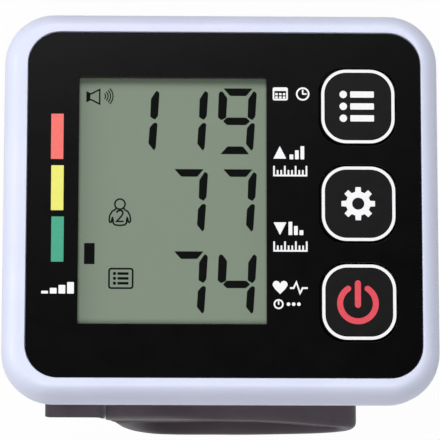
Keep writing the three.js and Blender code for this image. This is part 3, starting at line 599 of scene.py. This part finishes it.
def front_panel():
    panel = block("front_panel_sheet", 64.5, 57.22, 1.2, *PANEL_PLACE, PANEL_TOP, 5.3, 14)
    window = block("window", 30.8, 40.96, 4, WINDOW_X, 0.61, PANEL_TOP + 1, 0.2, 2)
    combine(panel, [window, *key_holes(12.75, 13.05, 4, PANEL_TOP + 1, 4.17, 10)])
    soften(panel, 0.08, 2, 50)
    smooth(panel)
    dress(panel, panel_gloss, stands_for="front_panel")


def screws():
    """Pan-head screws with a cross recess, made once and copied."""
    seat = RIM - 12.25
    model = post("screw_model", 1.65, 0, 0, seat - 1.5, seat)
    soften(model, 0.35, 3, 50)
    combine(model, [block("slot", *size, 0.8, 0, 0, seat - 1.1) for size in ((2.2, 0.45), (0.45, 2.2))])
    model = weld("screw_model", [model, post("shank", 1.0, 0, 0, seat - 0.5, RIM - 5.15, 20)])
    smooth(model)
    for number, (x, y) in enumerate(SCREWS, 1):
        screw = copy_at(model, f"casing_screw_{number}_cross", (x, y, 0))
        dress(screw, steel, stands_for=f"casing_screw_{number}")
    bpy.data.objects.remove(model)


def valve_coil():
    """The release valve's spring, wound from wire to fill its solid's box."""
    low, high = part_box("valve_spring")
    middle = (low + high) / 2
    length = high.z - low.z
    thread = 0.22 * MM
    radius = (high.x - low.x) / 2 - thread
    turns, steps = 3, 24
    count = turns * steps
    ring = arc(radius, [360 * number / steps for number in range(count + 1)], middle.x, middle.y)
    rises = [low.z + thread + (length - 2 * thread) * number / count for number in range(count + 1)]
    piece = wire("valve_coil_wire", [(*spot, rise) for spot, rise in zip(ring, rises)], thread, 2)
    dress(piece, steel, stands_for="valve_spring")
    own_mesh(piece)


def cells():
    """Two cells: a can with rolled ends, the plus button and the flat minus end."""
    radius, half, button = 5.25, 21.45, 0.45
    model = post("cell_model", radius, 0, 0, -half, half, 48)
    step_in(model, [(0.35, 0.12), (0.5, -0.15), (2.4, 0.0), (0.12, 0.8)], 1)
    step_in(model, [(0.5, 0.1), (0.5, -0.1)], -1)
    soften(model, 0.12, 2, 60)
    smooth(model, 40)
    for number, side in ((1, 1), (2, -1)):
        low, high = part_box(f"cell_{number}")
        middle = (low + high) / 2 / MM
        place = (middle.x, middle.y - side * button, middle.z)
        can = copy_at(model, f"cell_{number}_can", place, -side * math.pi / 2, "X")
        dress(can, cell_can, stands_for=f"cell_{number}")
    bpy.data.objects.remove(model)


# Shapes of marks

def arc(radius, angles, x=0.0, y=0.0):
    turns = [math.radians(angle) for angle in angles]
    return [(x + radius * math.cos(turn), y + radius * math.sin(turn)) for turn in turns]


def rounded(width, height, corner, steps):
    corners = []
    for quarter, (side_x, side_y) in enumerate(((1, 1), (-1, 1), (-1, -1), (1, -1))):
        angles = [90 * (quarter + step / steps) for step in range(steps + 1)]
        corners += arc(corner, angles, side_x * (width / 2 - corner), side_y * (height / 2 - corner))
    return corners


def disc(radius, sides=32):
    return arc(radius, [360 * number / sides for number in range(sides)])


def mirrored(points):
    """The same points on the other side, in the order that carries the outline on."""
    return [(-x, y) for x, y in points[::-1]]


def neighbours(corners, number):
    return corners[number - 1], corners[(number + 1) % len(corners)]


def eased(corners, reach=0.17, steps=3):
    """The corners of a shape, each one rounded off a little."""
    made = []
    for number, corner in enumerate(corners):
        here = Vector(corner)
        ends = []
        for other in neighbours(corners, number):
            edge = Vector(other) - here
            ends.append(here + edge.normalized() * min(reach, edge.length * 0.45))
        for step in range(steps + 1):
            part = step / steps
            made.append(tuple(ends[0] * (1 - part) ** 2 + here * 2 * part * (1 - part) + ends[1] * part ** 2))
    return made


def grown(corners, reach):
    """The corners of a shape that runs clockwise or not, moved out by the same reach on every side."""
    turn = sum(a[0] * b[1] - b[0] * a[1] for a, b in zip(corners, corners[1:] + corners[:1]))
    way = reach if turn > 0 else -reach
    made = []
    for number, corner in enumerate(corners):
        here = Vector(corner)
        before, after = (Vector(other) for other in neighbours(corners, number))
        out = [Vector((run.y, -run.x)).normalized() for run in (here - before, after - here)]
        middle = (out[0] + out[1]).normalized()
        made.append(tuple(here + middle * way / max(middle.dot(out[0]), 0.6)))
    return made


def open_ring(radius, width, gap, sides=48):
    """A ring that is open at the top by a gap to each side, in degrees, with round ends."""
    turns = [90 - gap - (360 - 2 * gap) * step / sides for step in range(sides + 1)]

    def cap(end, half_turn):
        middle = arc(radius - width / 2, [end])[0]
        return arc(width / 2, [end + half_turn - 22.5 * step for step in range(1, 8)], *middle)

    return [*arc(radius, turns), *cap(turns[-1], 0), *arc(radius - width, turns[::-1]), *cap(turns[0], 180)]


class Ink:
    """Thin marks of one material, which all end at the same height over one surface."""

    def __init__(self, finish, top, thick=0.08, slot="panel_gloss"):
        self.finish, self.slot = finish, slot
        self.top, self.thick = top, thick

    def place(self, verts, spots, x, y, lift):
        """Puts the points of a flat piece on their spots, at the underside of the mark."""
        for vert, spot in zip(verts, spots):
            vert.co = ((spot[0] + x) * MM, (spot[1] + y) * MM, (self.top + lift - self.thick) * MM)

    def thicken(self, piece, band=0.0):
        """Raises a flat piece, or only a band inside its edge, to the top of the mark."""
        edit(piece)
        if band:
            bpy.ops.mesh.inset(thickness=band * MM, depth=0)
            bpy.ops.mesh.delete(type="FACE")
            bpy.ops.mesh.select_all(action="SELECT")
        bpy.ops.mesh.extrude_region_move(TRANSFORM_OT_translate={"value": (0, 0, self.thick * MM)})
        leave()
        facing_out(piece)
        return piece

    def flat(self, corners, x=0.0, y=0.0, lift=0.0, band=0.0):
        """A shape with the given corners, cut from a disc with as many of them."""
        start()
        bpy.ops.mesh.primitive_circle_add(vertices=len(corners), radius=MM, fill_type="NGON")
        piece = bpy.context.object
        self.place(piece.data.vertices, corners, x, y, lift)
        return self.thicken(piece, band)

    def bar(self, width, height, x, y, corner=0.05, lift=0.0):
        corner = min(corner, width / 2 - 0.01, height / 2 - 0.01)
        return self.flat(rounded(width, height, corner, 3), x, y, lift)

    def line(self, points, width, x, y, lift=0.0):
        """A stroke along points, with square ends and mitred bends."""
        start()
        bpy.ops.mesh.primitive_grid_add(x_subdivisions=len(points) - 1, y_subdivisions=1, size=2 * MM)
        piece = bpy.context.object
        runs = [Vector(b) - Vector(a) for a, b in zip(points, points[1:])]
        across = [Vector((-run.y, run.x)).normalized() for run in runs]
        spots = []
        for side in (-1, 1):
            for number, point in enumerate(points):
                near = across[max(number - 1, 0):number + 1]
                middle = sum(near, Vector((0, 0))).normalized()
                spots.append(Vector(point) + middle * side * width / 2 / max(middle.dot(near[0]), 0.45))
        self.place(sorted(piece.data.vertices, key=lambda v: (v.co.y > 0, v.co.x)), spots, x, y, lift)
        return self.thicken(piece)

    def mark(self, name, pieces, body="monitor"):
        """Joins pieces into one finished mark."""
        dress(weld(name, pieces), self.finish, body)


# Keys and printing

def key(name, y):
    """A square cap with soft edges on its flange, and the white ring printed round its face."""
    cap = block(name + "_cap", 12.3, 12.55, 3.7, KEY_X + 0.03, y, KEY_TOP, 4.2, 14)
    soften(cap, 0.12, 3, 60)
    flange = block("flange", 13.6, 13.9, 0.8, KEY_X, y, RIM - 3.5, 4.6, 10)
    soften(flange, 0.08, 1, 60)
    cap = weld(name + "_cap", [cap, flange])
    smooth(cap)
    dress(cap, key_plastic, name, name)
    white = Ink(white_print, KEY_TOP + 0.02, 0.1)
    white.mark(name + "_ring", [white.flat(rounded(12.04, 12.36, 4.12, 14), KEY_X + 0.06, y, band=0.5)], name)


def key_symbols():
    """A list, a gear and the standard power symbol."""
    white, red = (Ink(finish, KEY_TOP + PRINT) for finish in (white_print, red_print))
    rows = []
    for rise in (2.0, 0.0, -2.0):
        y = KEYS["memory_key"] + rise
        rows += [white.bar(3.9, 1.05, KEY_X + 0.75, y, 0.12), white.flat(disc(0.62, 20), KEY_X - 2.35, y)]
    white.mark("memory_key_list", rows, "memory_key")

    teeth = []
    for tooth in range(0, 360, 45):
        for reach, turn in ((2.02, -14), (2.78, -9), (2.78, 9), (2.02, 14)):
            teeth += arc(reach, [tooth + turn])
    gear = white.flat(teeth, KEY_X, KEYS["set_key"])
    combine(gear, [post("gear_hole", 1.0, KEY_X, KEYS["set_key"], white.top - 1, white.top + 1)])
    white.mark("set_key_gear", [gear], "set_key")

    x, y = 22.25, -16.5
    power = [red.flat(open_ring(3.4, 0.98, 33), x, y), red.bar(1.0, 4.55, x, y + 1.55, 0.49)]
    red.mark("power_key_symbol", power, "power_key")


def colour_bars():
    for name, finish, left, high, low in (
        ("high_bar", coral_bar, -28.0, 14.86, 7.29),
        ("middle_bar", yellow_bar, -27.91, 6.23, -1.23),
        ("normal_bar", green_bar, -27.81, -2.28, -9.74),
    ):
        ink = Ink(finish, PANEL_TOP + PRINT)
        ink.mark(name, [ink.bar(2.03, high - low, left + 1.095, (high + low) / 2, 0.06)])


def panel_pictograms():
    """Plain pictograms in the places of the printed captions."""
    ink = Ink(white_print, PANEL_TOP + PRINT)

    x, y = 9.7, 18.36
    time = [ink.flat(rounded(2.5, 2.2, 0.3, 3), x, y, band=0.28), ink.bar(2.3, 0.5, x, y + 0.74, lift=OVER)]
    time += [ink.bar(0.42, 0.36, x + dx, y + dy) for dx in (-0.62, 0, 0.62) for dy in (-0.05, -0.6)]
    x = 13.4
    time += [ink.flat(disc(1.12), x, y, band=0.28), ink.bar(0.26, 0.85, x, y + 0.3),
             ink.bar(0.7, 0.26, x + 0.3, y, lift=OVER)]
    ink.mark("time_pictogram", time)

    stroke, left, right, ticks = 0.28, 8.5, 14.1, 10
    for name, triangle, y, first, heights, low, high in (
        ("upper", [(-1.05, -1.0), (1.05, -1.0), (0, 1.1)], 8.5, 11.5, (0.8, 1.5, 2.2), 4.55, 6.3),
        ("lower", [(-1.05, 1.0), (0, -1.1), (1.05, 1.0)], -4.1, 11.3, (2.2, 1.5, 0.8), -7.95, -6.25),
    ):
        pieces = [ink.flat(triangle, 9.6, y)]
        for number, tall in enumerate(heights):
            pieces.append(ink.bar(0.62, tall, first + number * 0.9, y + tall / 2 - 1.1, 0.08))
        ink.mark(name + "_pictogram", pieces)
        scale = [ink.bar(right - left, stroke, (left + right) / 2, low + stroke / 2)]
        for number in range(ticks):
            tall = (high - low) * (0.6 if number % 3 else 1)
            at = left + stroke / 2 + (right - left - stroke) * number / (ticks - 1)
            scale.append(ink.bar(stroke, tall, at, low + tall / 2, lift=OVER))
        ink.mark(name + "_scale", scale)

    half = [(0.85, -0.3), (1.2, 0.25), *arc(0.6, (10, 50, 90, 130), 0.62, 0.45)]
    beat = [(-1.45, -0.1), (-0.85, -0.1), (-0.4, 0.85), (0.2, -0.95), (0.6, -0.1), (1.45, -0.1)]
    pulse = ink.line(beat, 0.3, 12.65, -13.85)
    ink.mark("pulse_pictogram", [ink.flat([(0, -1.15), *half, (0, 0.55), *mirrored(half)], 9.6, -13.8), pulse])
    x, y = 9.35, -16.6
    watch = [ink.flat(disc(0.82, 28), x, y, band=0.26), ink.bar(0.24, 0.6, x, y + 0.2)]
    watch += [ink.flat(disc(0.3, 16), 10.95 + number * 0.85, y) for number in range(3)]
    ink.mark("per_minute_pictogram", watch)

    levels = []
    for number in range(4):
        tall = 0.45 + 0.48 * number
        levels.append(ink.bar(1.1, tall, -28.7 + number * 1.4, -14.06 + tall / 2 - 0.93, 0.08))
    ink.mark("level_pictogram", levels)


# Display

LEAN = 0.059
DRAWN_HEIGHT = 10.94
# Each segment's corners, from the top right corner of a figure of that height
SEGMENTS = {
    "a": ((-0.77, 0.0), (-5.42, 0.0), (-4.3, -1.18), (-1.69, -1.18)),
    "b": ((-0.31, -0.5), (0, -0.83), (0, -4.62), (-0.43, -5.21), (-1.17, -4.78), (-1.25, -1.81),
          (-0.53, -0.55)),
    "c": ((-0.62, -5.9), (-0.26, -5.8), (0, -6), (-0.03, -9.96), (-0.27, -10.34), (-1.18, -9.24),
          (-1.17, -6.65)),
    "d": ((-4.22, -9.73), (-1.73, -9.73), (-0.69, -10.94), (-5.26, -10.94)),
    "f": ((-5.96, -0.5), (-6.16, -0.85), (-6.08, -4.78), (-5.54, -5.24), (-4.8, -4.87), (-4.82, -1.61),
          (-5.6, -0.58)),
    "g": ((-5.19, -5.47), (-4.6, -4.9), (-1.48, -4.9), (-0.84, -5.47), (-1.46, -6.05), (-4.53, -6.05)),
}
LIT = {"1": "bc", "7": "abc", "9": "abcdfg", "4": "bcfg"}


def digits(ink):
    """Seven-segment figures that lean to the right, each hung from its top right corner."""
    for row, high, height, figures in (
        (1, 19.58, 11.0, (("hundreds", "1", -10.19), ("tens", "1", -2.15), ("ones", "9", 5.87))),
        (2, 5.98, 10.92, (("tens", "7", -2.17), ("ones", "7", 5.86))),
        (3, -7.72, 10.8, (("tens", "7", -2.17), ("ones", "4", 5.86))),
    ):
        tall = height / DRAWN_HEIGHT
        for place, figure, right in figures:
            pieces = []
            for segment in LIT[figure]:
                corners = [(right + x + LEAN * y * tall, high + y * tall) for x, y in SEGMENTS[segment]]
                pieces.append(ink.flat(eased(grown(corners, 0.045))))
            ink.mark(f"digit_{row}_{place}", pieces)


def display_marks():
    ink = Ink(segment_ink, DISPLAY_TOP + 0.03, 0.05, "display_face")
    digits(ink)
    ink.mark("cursor_mark", [ink.bar(1.72, 3.48, -21.54, -8.11, 0.04)])

    bell = [(-0.85, 0.5), (-0.3, 0.5), (1.1, 1.22), (1.1, -1.22), (-0.3, -0.5), (-0.85, -0.5)]
    magnet = eased([(-0.45, 0.95), (0.2, 0.6), (0.2, -0.6), (-0.45, -0.95)], 0.08)
    sound = [ink.line(bell, 0.24, -21.15, 18.1), ink.flat(magnet, -21.8, 18.1, OVER)]
    for radius in (0.62, 1.03, 1.44, 1.85):
        sound.append(ink.line(arc(radius, range(-45, 46, 15)), 0.18, -19.7, 18.2))
    ink.mark("sound_mark", sound)

    arm = [(-0.62, -0.72), (-0.82, -0.98), (-1.28, -1.24), (-1.65, -1.9), (-1.76, -2.75), (-1.6, -3.08),
           (-1.38, -3.0), (-1.3, -2.5), (-1.14, -2.15)]
    hip = [(0.8, -3.48), (1.08, -3.2), (1.14, -2.4)]
    waist = [*mirrored(hip), (0, -3.58), *hip]
    two = [(-0.55, -1.42), (-0.42, -1.16), (0, -1.0), (0.42, -1.16), (0.48, -1.56), (0.2, -2.05),
           (-0.55, -2.85), (0.6, -2.85)]
    user = [ink.flat(disc(0.97), -16.59, 0.12, band=0.25)]
    user += [ink.line(points, 0.25, -16.59, 0.15, lift)
             for points, lift in ((arm, 0), (mirrored(arm), 0), (waist, 0.004))]
    user.append(ink.line(two, 0.26, -16.57, 0.1, OVER))
    ink.mark("user_mark", user)

    x, y = -16.36, -12.2
    stored = [ink.flat(rounded(4.14, 3.49, 0.47, 4), x, y, band=0.28)]
    stored += [ink.bar(1.8, 0.42, x + 0.35, y + rise) for rise in (0.8, 0, -0.8)]
    stored += [ink.flat(disc(0.27, 14), x - 1.04, y + rise) for rise in (0.8, 0, -0.8)]
    ink.mark("stored_mark", stored)


# Cuff

CUFF_WIDTH = 65.2
EDGE_WIDTH = 65.3
# Where the sewn groove runs inside a hem, its half width and depth, and how far in the cover stays pinned
GROOVE, GROOVE_HALF, GROOVE_DEPTH = 2.3, 0.55, 0.22
PINNED = 2.4
# How far the cover may slide, and over what length its swell fades out towards the ends
SLIDE = 0.25
END_FADE = 4
LOWEST = 0.02

FRONT_ROWS = [
    (-19.36, 26.05, 5.38), (-19.12, 26.05, 6.2), (-18.51, 26.05, 6.7), (-16.46, 26.05, 6.9),
    (-12.1, 26.05, 6.9), (-8.71, 26.05, 6.69), (-6.29, 26.05, 5.52), (-3.63, 26.05, 3.86), (-0.48, 26.05, 2.4),
    (3.87, 25.68, 2.4), (8.23, 24.5, 2.4), (12.58, 22.02, 2.4), (17.18, 18.45, 2.4), (20.81, 15.82, 2.4),
    (23.0, 14.7, 2.4), (23.0, 13.65, 2.4),
]
REAR_ROWS = [
    (23.0, 13.35, 2.4), (22.94, 11.22, 2.58), (22.14, 7.8, 3.0), (18.2, 4.6, 3.0), (10.99, 2.5, 3.0),
    (5.2, 1.5, 3.0), (0.0, 1.5, 3.0), (-7.26, 1.5, 3.0), (-10.89, 2.75, 3.0), (-13.6, 6.5, 3.0),
    (-15.39, 12.0, 3.0), (-16.5, 18.5, 2.79), (-17.21, 21.3, 1.98),
]
FOLD_ROWS = [
    (18.6, 17.35, 1.9), (20.2, 16.2, 2.7), (21.7, 15.4, 2.85), (22.75, 14.5, 2.9), (23.02, 13.3, 2.9),
    (22.98, 11.9, 2.9), (22.8, 10.2, 2.9), (22.4, 8.6, 2.5),
]
TAB_ROWS = [
    (-18.66, 16.74, 1.0), (-19.5, 20.3, 1.0), (-20.8, 23.25, 1.0), (-21.35, 26.35, 1.0), (-22.6, 28.35, 1.0),
    (-24.68, 28.35, 1.0), (-26.62, 28.35, 1.0), (-29.15, 28.35, 1.0),
]
STRIP_ROWS = [
    (-29.45, 30.35, 1.0), (-26, 30.35, 1.08), (-22, 30.35, 1.08), (-20.9, 30.33, 1.05), (-20.4, 30.15, 1.05),
    (-20.0, 29.7, 1.0), (-19.8, 29.1, 0.95), (-19.73, 28.4, 0.9), (-19.7, 27.7, 0.85),
]


def path_point(rows, share):
    """A place on a smooth curve through rows of X, height and thickness."""
    last = len(rows) - 1
    place = min(max(share, 0.0), 0.999999) * last
    number = int(place)
    t = place - number
    here, there = Vector(rows[number]), Vector(rows[number + 1])
    before = Vector(rows[number - 1]) if number else here * 2 - there
    after = Vector(rows[number + 2]) if number + 2 <= last else there * 2 - here
    gaps = (here - before, there - here, after - there)
    near, mid, far = (max(gap.length, 1e-9) ** 0.5 for gap in gaps)
    leave_here = (gaps[0] / near - (there - before) / (near + mid) + gaps[1] / mid) * mid
    reach_there = (gaps[1] / mid - (after - here) / (mid + far) + gaps[2] / far) * mid
    t2, t3 = t ** 2, t ** 3
    return (here * (2 * t3 - 3 * t2 + 1) + leave_here * (t3 - 2 * t2 + t)
            + there * (3 * t2 - 2 * t3) + reach_there * (t3 - t2))


class Path:
    """A cloth layer's middle line, measured along its run."""

    def __init__(self, rows, count=300):
        self.places = [path_point(rows, i / count) for i in range(count + 1)]
        self.runs = [0.0]
        for a, b in zip(self.places, self.places[1:]):
            self.runs.append(self.runs[-1] + math.hypot(b.x - a.x, b.y - a.y))
        self.length = self.runs[-1]

    def at(self, run):
        """Place, side direction and half thickness at a run."""
        run = min(max(run, 0.0), self.length)
        high = min(bisect.bisect_right(self.runs, run), len(self.runs) - 1)
        low = high - 1
        part = (run - self.runs[low]) / max(self.runs[high] - self.runs[low], 1e-9)
        place = self.places[low].lerp(self.places[high], part)
        back, ahead = self.places[max(low - 2, 0)], self.places[min(high + 2, len(self.places) - 1)]
        along = (ahead.xy - back.xy).normalized()
        return place.xy, Vector((-along.y, along.x)), place.z / 2


def swell_cover(piece, spots, width, length, outer_reach, wrist_reach):
    """A short cloth run: a little slack and air let the cover swell and pucker between its seams.

    The seams stay where they are, and no point moves past the reach of its side.
    """
    before = [(vert.co.copy(), vert.normal.copy()) for vert in piece.data.vertices]
    seams = piece.vertex_groups.new(name="seams")
    for vert, (run, y, _) in zip(piece.data.vertices, spots):
        inside = min(width / 2 - abs(y) / MM, run / MM, length - run / MM)
        seams.add([vert.index], 1.0 if inside < PINNED else 0.0, "REPLACE")
    cover = piece.modifiers.new("cover", "CLOTH")
    set_all(cover.settings, quality=6, mass=0.0001, tension_stiffness=5, compression_stiffness=5,
            shear_stiffness=2.5, bending_stiffness=0.00005, vertex_group_mass="seams", shrink_min=-0.022,
            use_pressure=True, uniform_pressure_force=5)
    cover.settings.effector_weights.gravity = 0
    cover.collision_settings.use_collision = False
    for moment in range(1, 21):
        bpy.context.scene.frame_set(moment)
    choose(piece)
    bpy.ops.object.modifier_apply(modifier=cover.name)
    bpy.context.scene.frame_set(1)
    for vert, (rest, out), (run, _, thick) in zip(piece.data.vertices, before, spots):
        to_end = min(run / MM, length - run / MM)
        fade = max(0.1, min(1.0, (to_end - END_FADE) / END_FADE))
        reach = (outer_reach if thick > 0 else wrist_reach) * fade * MM
        move = vert.co - rest
        rise = move.dot(out)
        slide = move - out * rise
        if slide.length > SLIDE * MM:
            slide = slide.normalized() * SLIDE * MM
        vert.co = rest + out * reach * math.tanh(rise / reach) + slide
        vert.co.z = max(vert.co.z, LOWEST * MM)


def lay_thread(piece, spots, on_rim):
    """Gives a band its UV: the run and the place across, and down over its rim the thickness as well."""
    thread = piece.data.uv_layers.new(name="thread")
    for face in piece.data.polygons:
        wall = all(on_rim[number] for number in face.vertices)
        for index in face.loop_indices:
            run, y, thick = spots[piece.data.loops[index].vertex_index]
            thread.data[index].uv = (run, y + thick if wall else y)


def padded_band(name, rows, width, along, across, hem=0.9, hem_share=0.34, crown=0.0, groove=None,
                crease=0.0, reaches=None, corners=(0.9, 0.9)):
    """A padded layer laid along a path, with rounded hems, a sewn groove and shallow creases."""
    path = Path(rows)
    start()
    bpy.ops.mesh.primitive_cube_add(size=1, calc_uvs=False)
    piece = rename(bpy.context.object, name)
    for axis, cuts in ((0, along - 1), (1, across - 1)):
        pick(piece, "edges", lambda e: abs(e.verts[0].co[axis] - e.verts[1].co[axis]) > 1e-4)
        bpy.ops.mesh.subdivide(number_cuts=cuts)
        leave()
    spots, on_rim = [], []
    for vert in piece.data.vertices:
        on_rim.append(abs(vert.co.y) > 0.499)
        run = (vert.co.x + 0.5) * path.length
        corner, left = min((corners[0], run), (corners[1], path.length - run), key=lambda end: end[1])
        short = max(0.0, 1 - left / corner)
        y = math.sin(vert.co.y * math.pi) * (width / 2 - corner * (1 - math.sqrt(1 - short * short)))
        side = 1 if vert.co.z > 0 else -1
        centre, out, half = path.at(run)
        inner = width / 2 - abs(y)
        share = 1 - min(inner / hem, 1.0)
        thick = half * (hem_share + (1 - hem_share) * math.sqrt(max(0.0, 1 - share * share)))
        thick *= 1 - crown * (2 * y / width) ** 4
        if groove:
            near = min(abs(inner - groove) / GROOVE_HALF, 1.0)
            thick -= GROOVE_DEPTH * (1 - near * near) * min(1.0, half / 1.2)
        swell = noise.noise(Vector((run * 0.16, y * 0.11, side * 3.0)))
        fine = noise.noise(Vector((run * 0.55, y * 0.2, side * 7.0 + 20)))
        thick -= crease * (0.5 + 0.5 * swell) + crease * 0.4 * (0.5 + 0.5 * fine)
        spot = centre + out * side * thick
        vert.co = (spot.x * MM, y * MM, max(spot.y, LOWEST) * MM)
        spots.append((run * MM, y * MM, side * thick * MM))
    lay_thread(piece, spots, on_rim)
    edit(piece)
    bpy.ops.mesh.normals_make_consistent(inside=False)
    leave()
    if reaches:
        swell_cover(piece, spots, width, path.length, *reaches)
    modify(piece, "SUBSURF", levels=1, render_levels=1)
    bpy.ops.object.shade_smooth()
    return piece, path


def hem_cord(name, path, body, y, radius, start_run, end_gap, lift=0.0):
    """Piping that follows a layer's edge, its two ends tucked into the cloth."""
    count, tuck_length, tuck_depth, sink = 90, 1.4, 0.75, 0.3
    end_run = path.length - end_gap
    spots = []
    for number in range(count + 1):
        run = start_run + (end_run - start_run) * number / count
        centre, out, half = path.at(run)
        tuck = max(0.0, 1 - min(run - start_run, end_run - run) / tuck_length) ** 2
        spot = centre + out * lift * (1 - sink * tuck) * half
        inward = y - math.copysign(tuck_depth * tuck, y)
        spots.append((spot.x * MM, inward * MM, max(spot.y, radius) * MM))
    cord = wire(name, spots, radius * MM, 3)
    thread = cord.data.uv_layers.new(name="thread")
    for loop in cord.data.loops:
        spot = cord.data.vertices[loop.vertex_index].co
        thread.data[loop.index].uv = (spot.x + spot.z, spot.y + spot.z)
    # The cord's paler cloth carries a painted highlight along the hem's edge.
    dress(cord, hem_cloth_painted_highlight, body)


def stitches(name, path, body, y, side, start_run, end_gap):
    """A row of stitches, one made and the rest copied along the path."""
    start()
    bpy.ops.mesh.primitive_uv_sphere_add(segments=8, ring_count=6, radius=0.5 * MM)
    model = bpy.context.object
    model.data.transform(Matrix.Diagonal((1.5, 0.3, 0.24, 1)))
    rows = []
    run, pitch, sunk = start_run, 2.3, 0.16
    while run < path.length - end_gap:
        centre, out, half = path.at(run)
        spot = centre + out * side * (half - sunk)
        rows.append(copy_at(model, "stitch", (spot.x, y, max(spot.y, 0.1)), -math.atan2(-out.x, out.y), "Y"))
        run += pitch
    bpy.data.objects.remove(model)
    row = weld(name, rows)
    bpy.ops.object.shade_smooth()
    dress(row, thread_cloth, body)


def tape(name, width, x, top, finish, body, stands_for):
    """A hook or loop tape."""
    piece = block(name, width, 43.8, 0.34, x, 0, top, 0.5, 4)
    soften(piece, 0.08, 1)
    dress(piece, finish, body, stands_for)
    return piece


def cuff():
    front, front_path = padded_band("cuff_front_pouch", FRONT_ROWS, CUFF_WIDTH, 76, 44, crown=0.05,
                                    groove=GROOVE, crease=0.1, reaches=(0.2, 0.6), corners=(0.2, 0.9))
    dress(front, cuff_cloth, stands_for="cuff_front_layer")
    rear, rear_path = padded_band("cuff_rear_band", REAR_ROWS, CUFF_WIDTH, 76, 44, groove=GROOVE, crease=0.07,
                                  reaches=(0.25, 0.5))
    dress(rear, cuff_cloth, "cuff_rear", "cuff_rear_layer")
    fold, _ = padded_band("cuff_fold", FOLD_ROWS, EDGE_WIDTH, 34, 40, crease=0.05)
    paint(fold, cuff_cloth)
    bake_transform(fold)
    for side, label in ((-1, "near"), (1, "far")):
        hem_cord(f"front_hem_{label}", front_path, "monitor", side * 32.52, 0.18, 0.35, 4.5, -0.74)
        hem_cord(f"rear_hem_{label}", rear_path, "cuff_rear", side * 32.5, 0.16, 5.5, 1.0)
        y = side * (CUFF_WIDTH / 2 - PINNED)
        stitches(f"front_stitches_{label}", front_path, "monitor", y, -1, 14, 8)
        stitches(f"rear_stitches_{label}", rear_path, "cuff_rear", y, 1, 6, 4)
    strip, strip_path = padded_band("cuff_strip_cloth", STRIP_ROWS, EDGE_WIDTH, 20, 40, 0.6, 0.6,
                                    corners=(0.15, 0.15))
    dress(strip, cuff_cloth, stands_for="cuff_strip")
    loop = tape("loop_tape_pile", 8.2, -24.98, RIM - 25.26, loop_pile, "monitor", "loop_tape")
    tab, tab_path = padded_band("closing_tab_cloth", TAB_ROWS, 47.9, 40, 34, 0.6, 0.6)
    dress(tab, lining_cloth, "cuff_rear", "closing_tab")
    hook = tape("hook_tape_pile", 4.8, -26.68, RIM - 25.71, hook_pile, "cuff_rear", "hook_tape")


# Solids that stay as they are get their finishes

def dress_solids():
    finishes = {
        window_clear: "window_lens",
        display_glass: "display_module",
        grey_plastic: "display_holder battery_tray pressure_sensor air_manifold cuff_stiffener",
        rubber_stripes: "upper_contact_strip lower_contact_strip",
        board_green: "circuit_board",
        dark_plastic: "processor memory_chip buzzer motor_magnet motor_end_cap pump_head valve_body cuff_plate",
        steel: "spring_contact_1 spring_contact_2 motor_can pump_rotor valve_plunger",
        brass: "flat_contact_1 flat_contact_2",
        hose_rubber: "pump_hose valve_hose sensor_hose cuff_hose",
        bladder_film: "air_bladder",
    }
    for finish, names in finishes.items():
        for name in names.split():
            paint(solids[name], finish)
    for name in KEYS:
        paint(solids[name + "_plunger"], dark_plastic)
        paint(solids[name + "_switch"], steel)


# Studio

def studio():
    """The photo's camera, a pale floor and sky that show evenly, and soft boxes round the part."""
    lens = bpy.data.cameras.new("photo_lens")
    set_all(lens, lens=240.38, sensor_width=36, clip_start=0.01, clip_end=10)
    camera = add_object("photo_camera", lens)
    camera.location = (-0.008246, -0.084753, 0.527386)
    camera.rotation_euler = [math.radians(angle) for angle in (9.8354, -0.9856, 0.0635)]
    bpy.context.scene.camera = camera

    start()
    bpy.ops.mesh.primitive_plane_add(size=3, location=(0, 0, -0.0001))
    floor = fix_place(bpy.context.object, "studio_floor")
    paper = Finish("pale_paper", Roughness=0.9)
    paper.colour(paper.noise(30, 3), (236, 236, 238), (240, 240, 242))
    rays = paper.node("LightPath").outputs
    seen = paper.math("MAXIMUM", rays["Is Camera Ray"],
                      paper.math("MAXIMUM", rays["Is Glossy Ray"], rays["Is Transmission Ray"]))
    glow = paper.node("Emission", {"Color": (1, 1, 1, 1)})
    end_in_mix(paper.tree, "Material Output", paper.math("MULTIPLY", seen, 0.97), paper.shader, glow)
    paint(floor, paper.material)

    world = bpy.data.worlds.new("studio_world")
    bpy.context.scene.world = world
    world.use_nodes = True
    sky = world.node_tree
    light = sky.nodes["Background"]
    feed(sky, light, {"Color": (0.95, 0.95, 1.0, 1), "Strength": 0.06})
    white = add_node(sky, "Background", {"Color": (0.975, 0.975, 0.975, 1)})
    end_in_mix(sky, "World Output", add_node(sky, "LightPath").outputs["Is Camera Ray"], light, white)

    aim = Vector((0, 0, 0.03))
    for name, spot, size, power in (
        ("near_box", (0.0, -0.3, 0.75), 0.3, 2.6),
        ("far_box", (-0.03, 0.38, 0.7), 0.24, 1.7),
        ("far_left_glint", (-0.16, 0.29, 0.71), 0.22, 0.5),
        ("left_box", (-0.45, 0.1, 0.5), 0.3, 0.58),
        ("left_fill", (-0.6, 0.02, 0.24), 0.3, 1.13),
        ("right_fill", (0.6, 0.0, 0.3), 0.3, 0.34),
    ):
        lamp = bpy.data.lights.new(name, "AREA")
        set_all(lamp, size=size, energy=power)
        box = add_object(name, lamp)
        box.location = spot
        box.rotation_euler = (aim - Vector(spot)).to_track_quat("-Z", "Y").to_euler()


bpy.context.scene.view_settings.view_transform = "Standard"
studio()
dress_solids()
front_casing()
rear_casing()
battery_cover()
front_panel()
screws()
valve_coil()
cells()
for key_name, key_y in KEYS.items():
    key(key_name, key_y)
key_symbols()
colour_bars()
panel_pictograms()
display_marks()
cuff()

start()
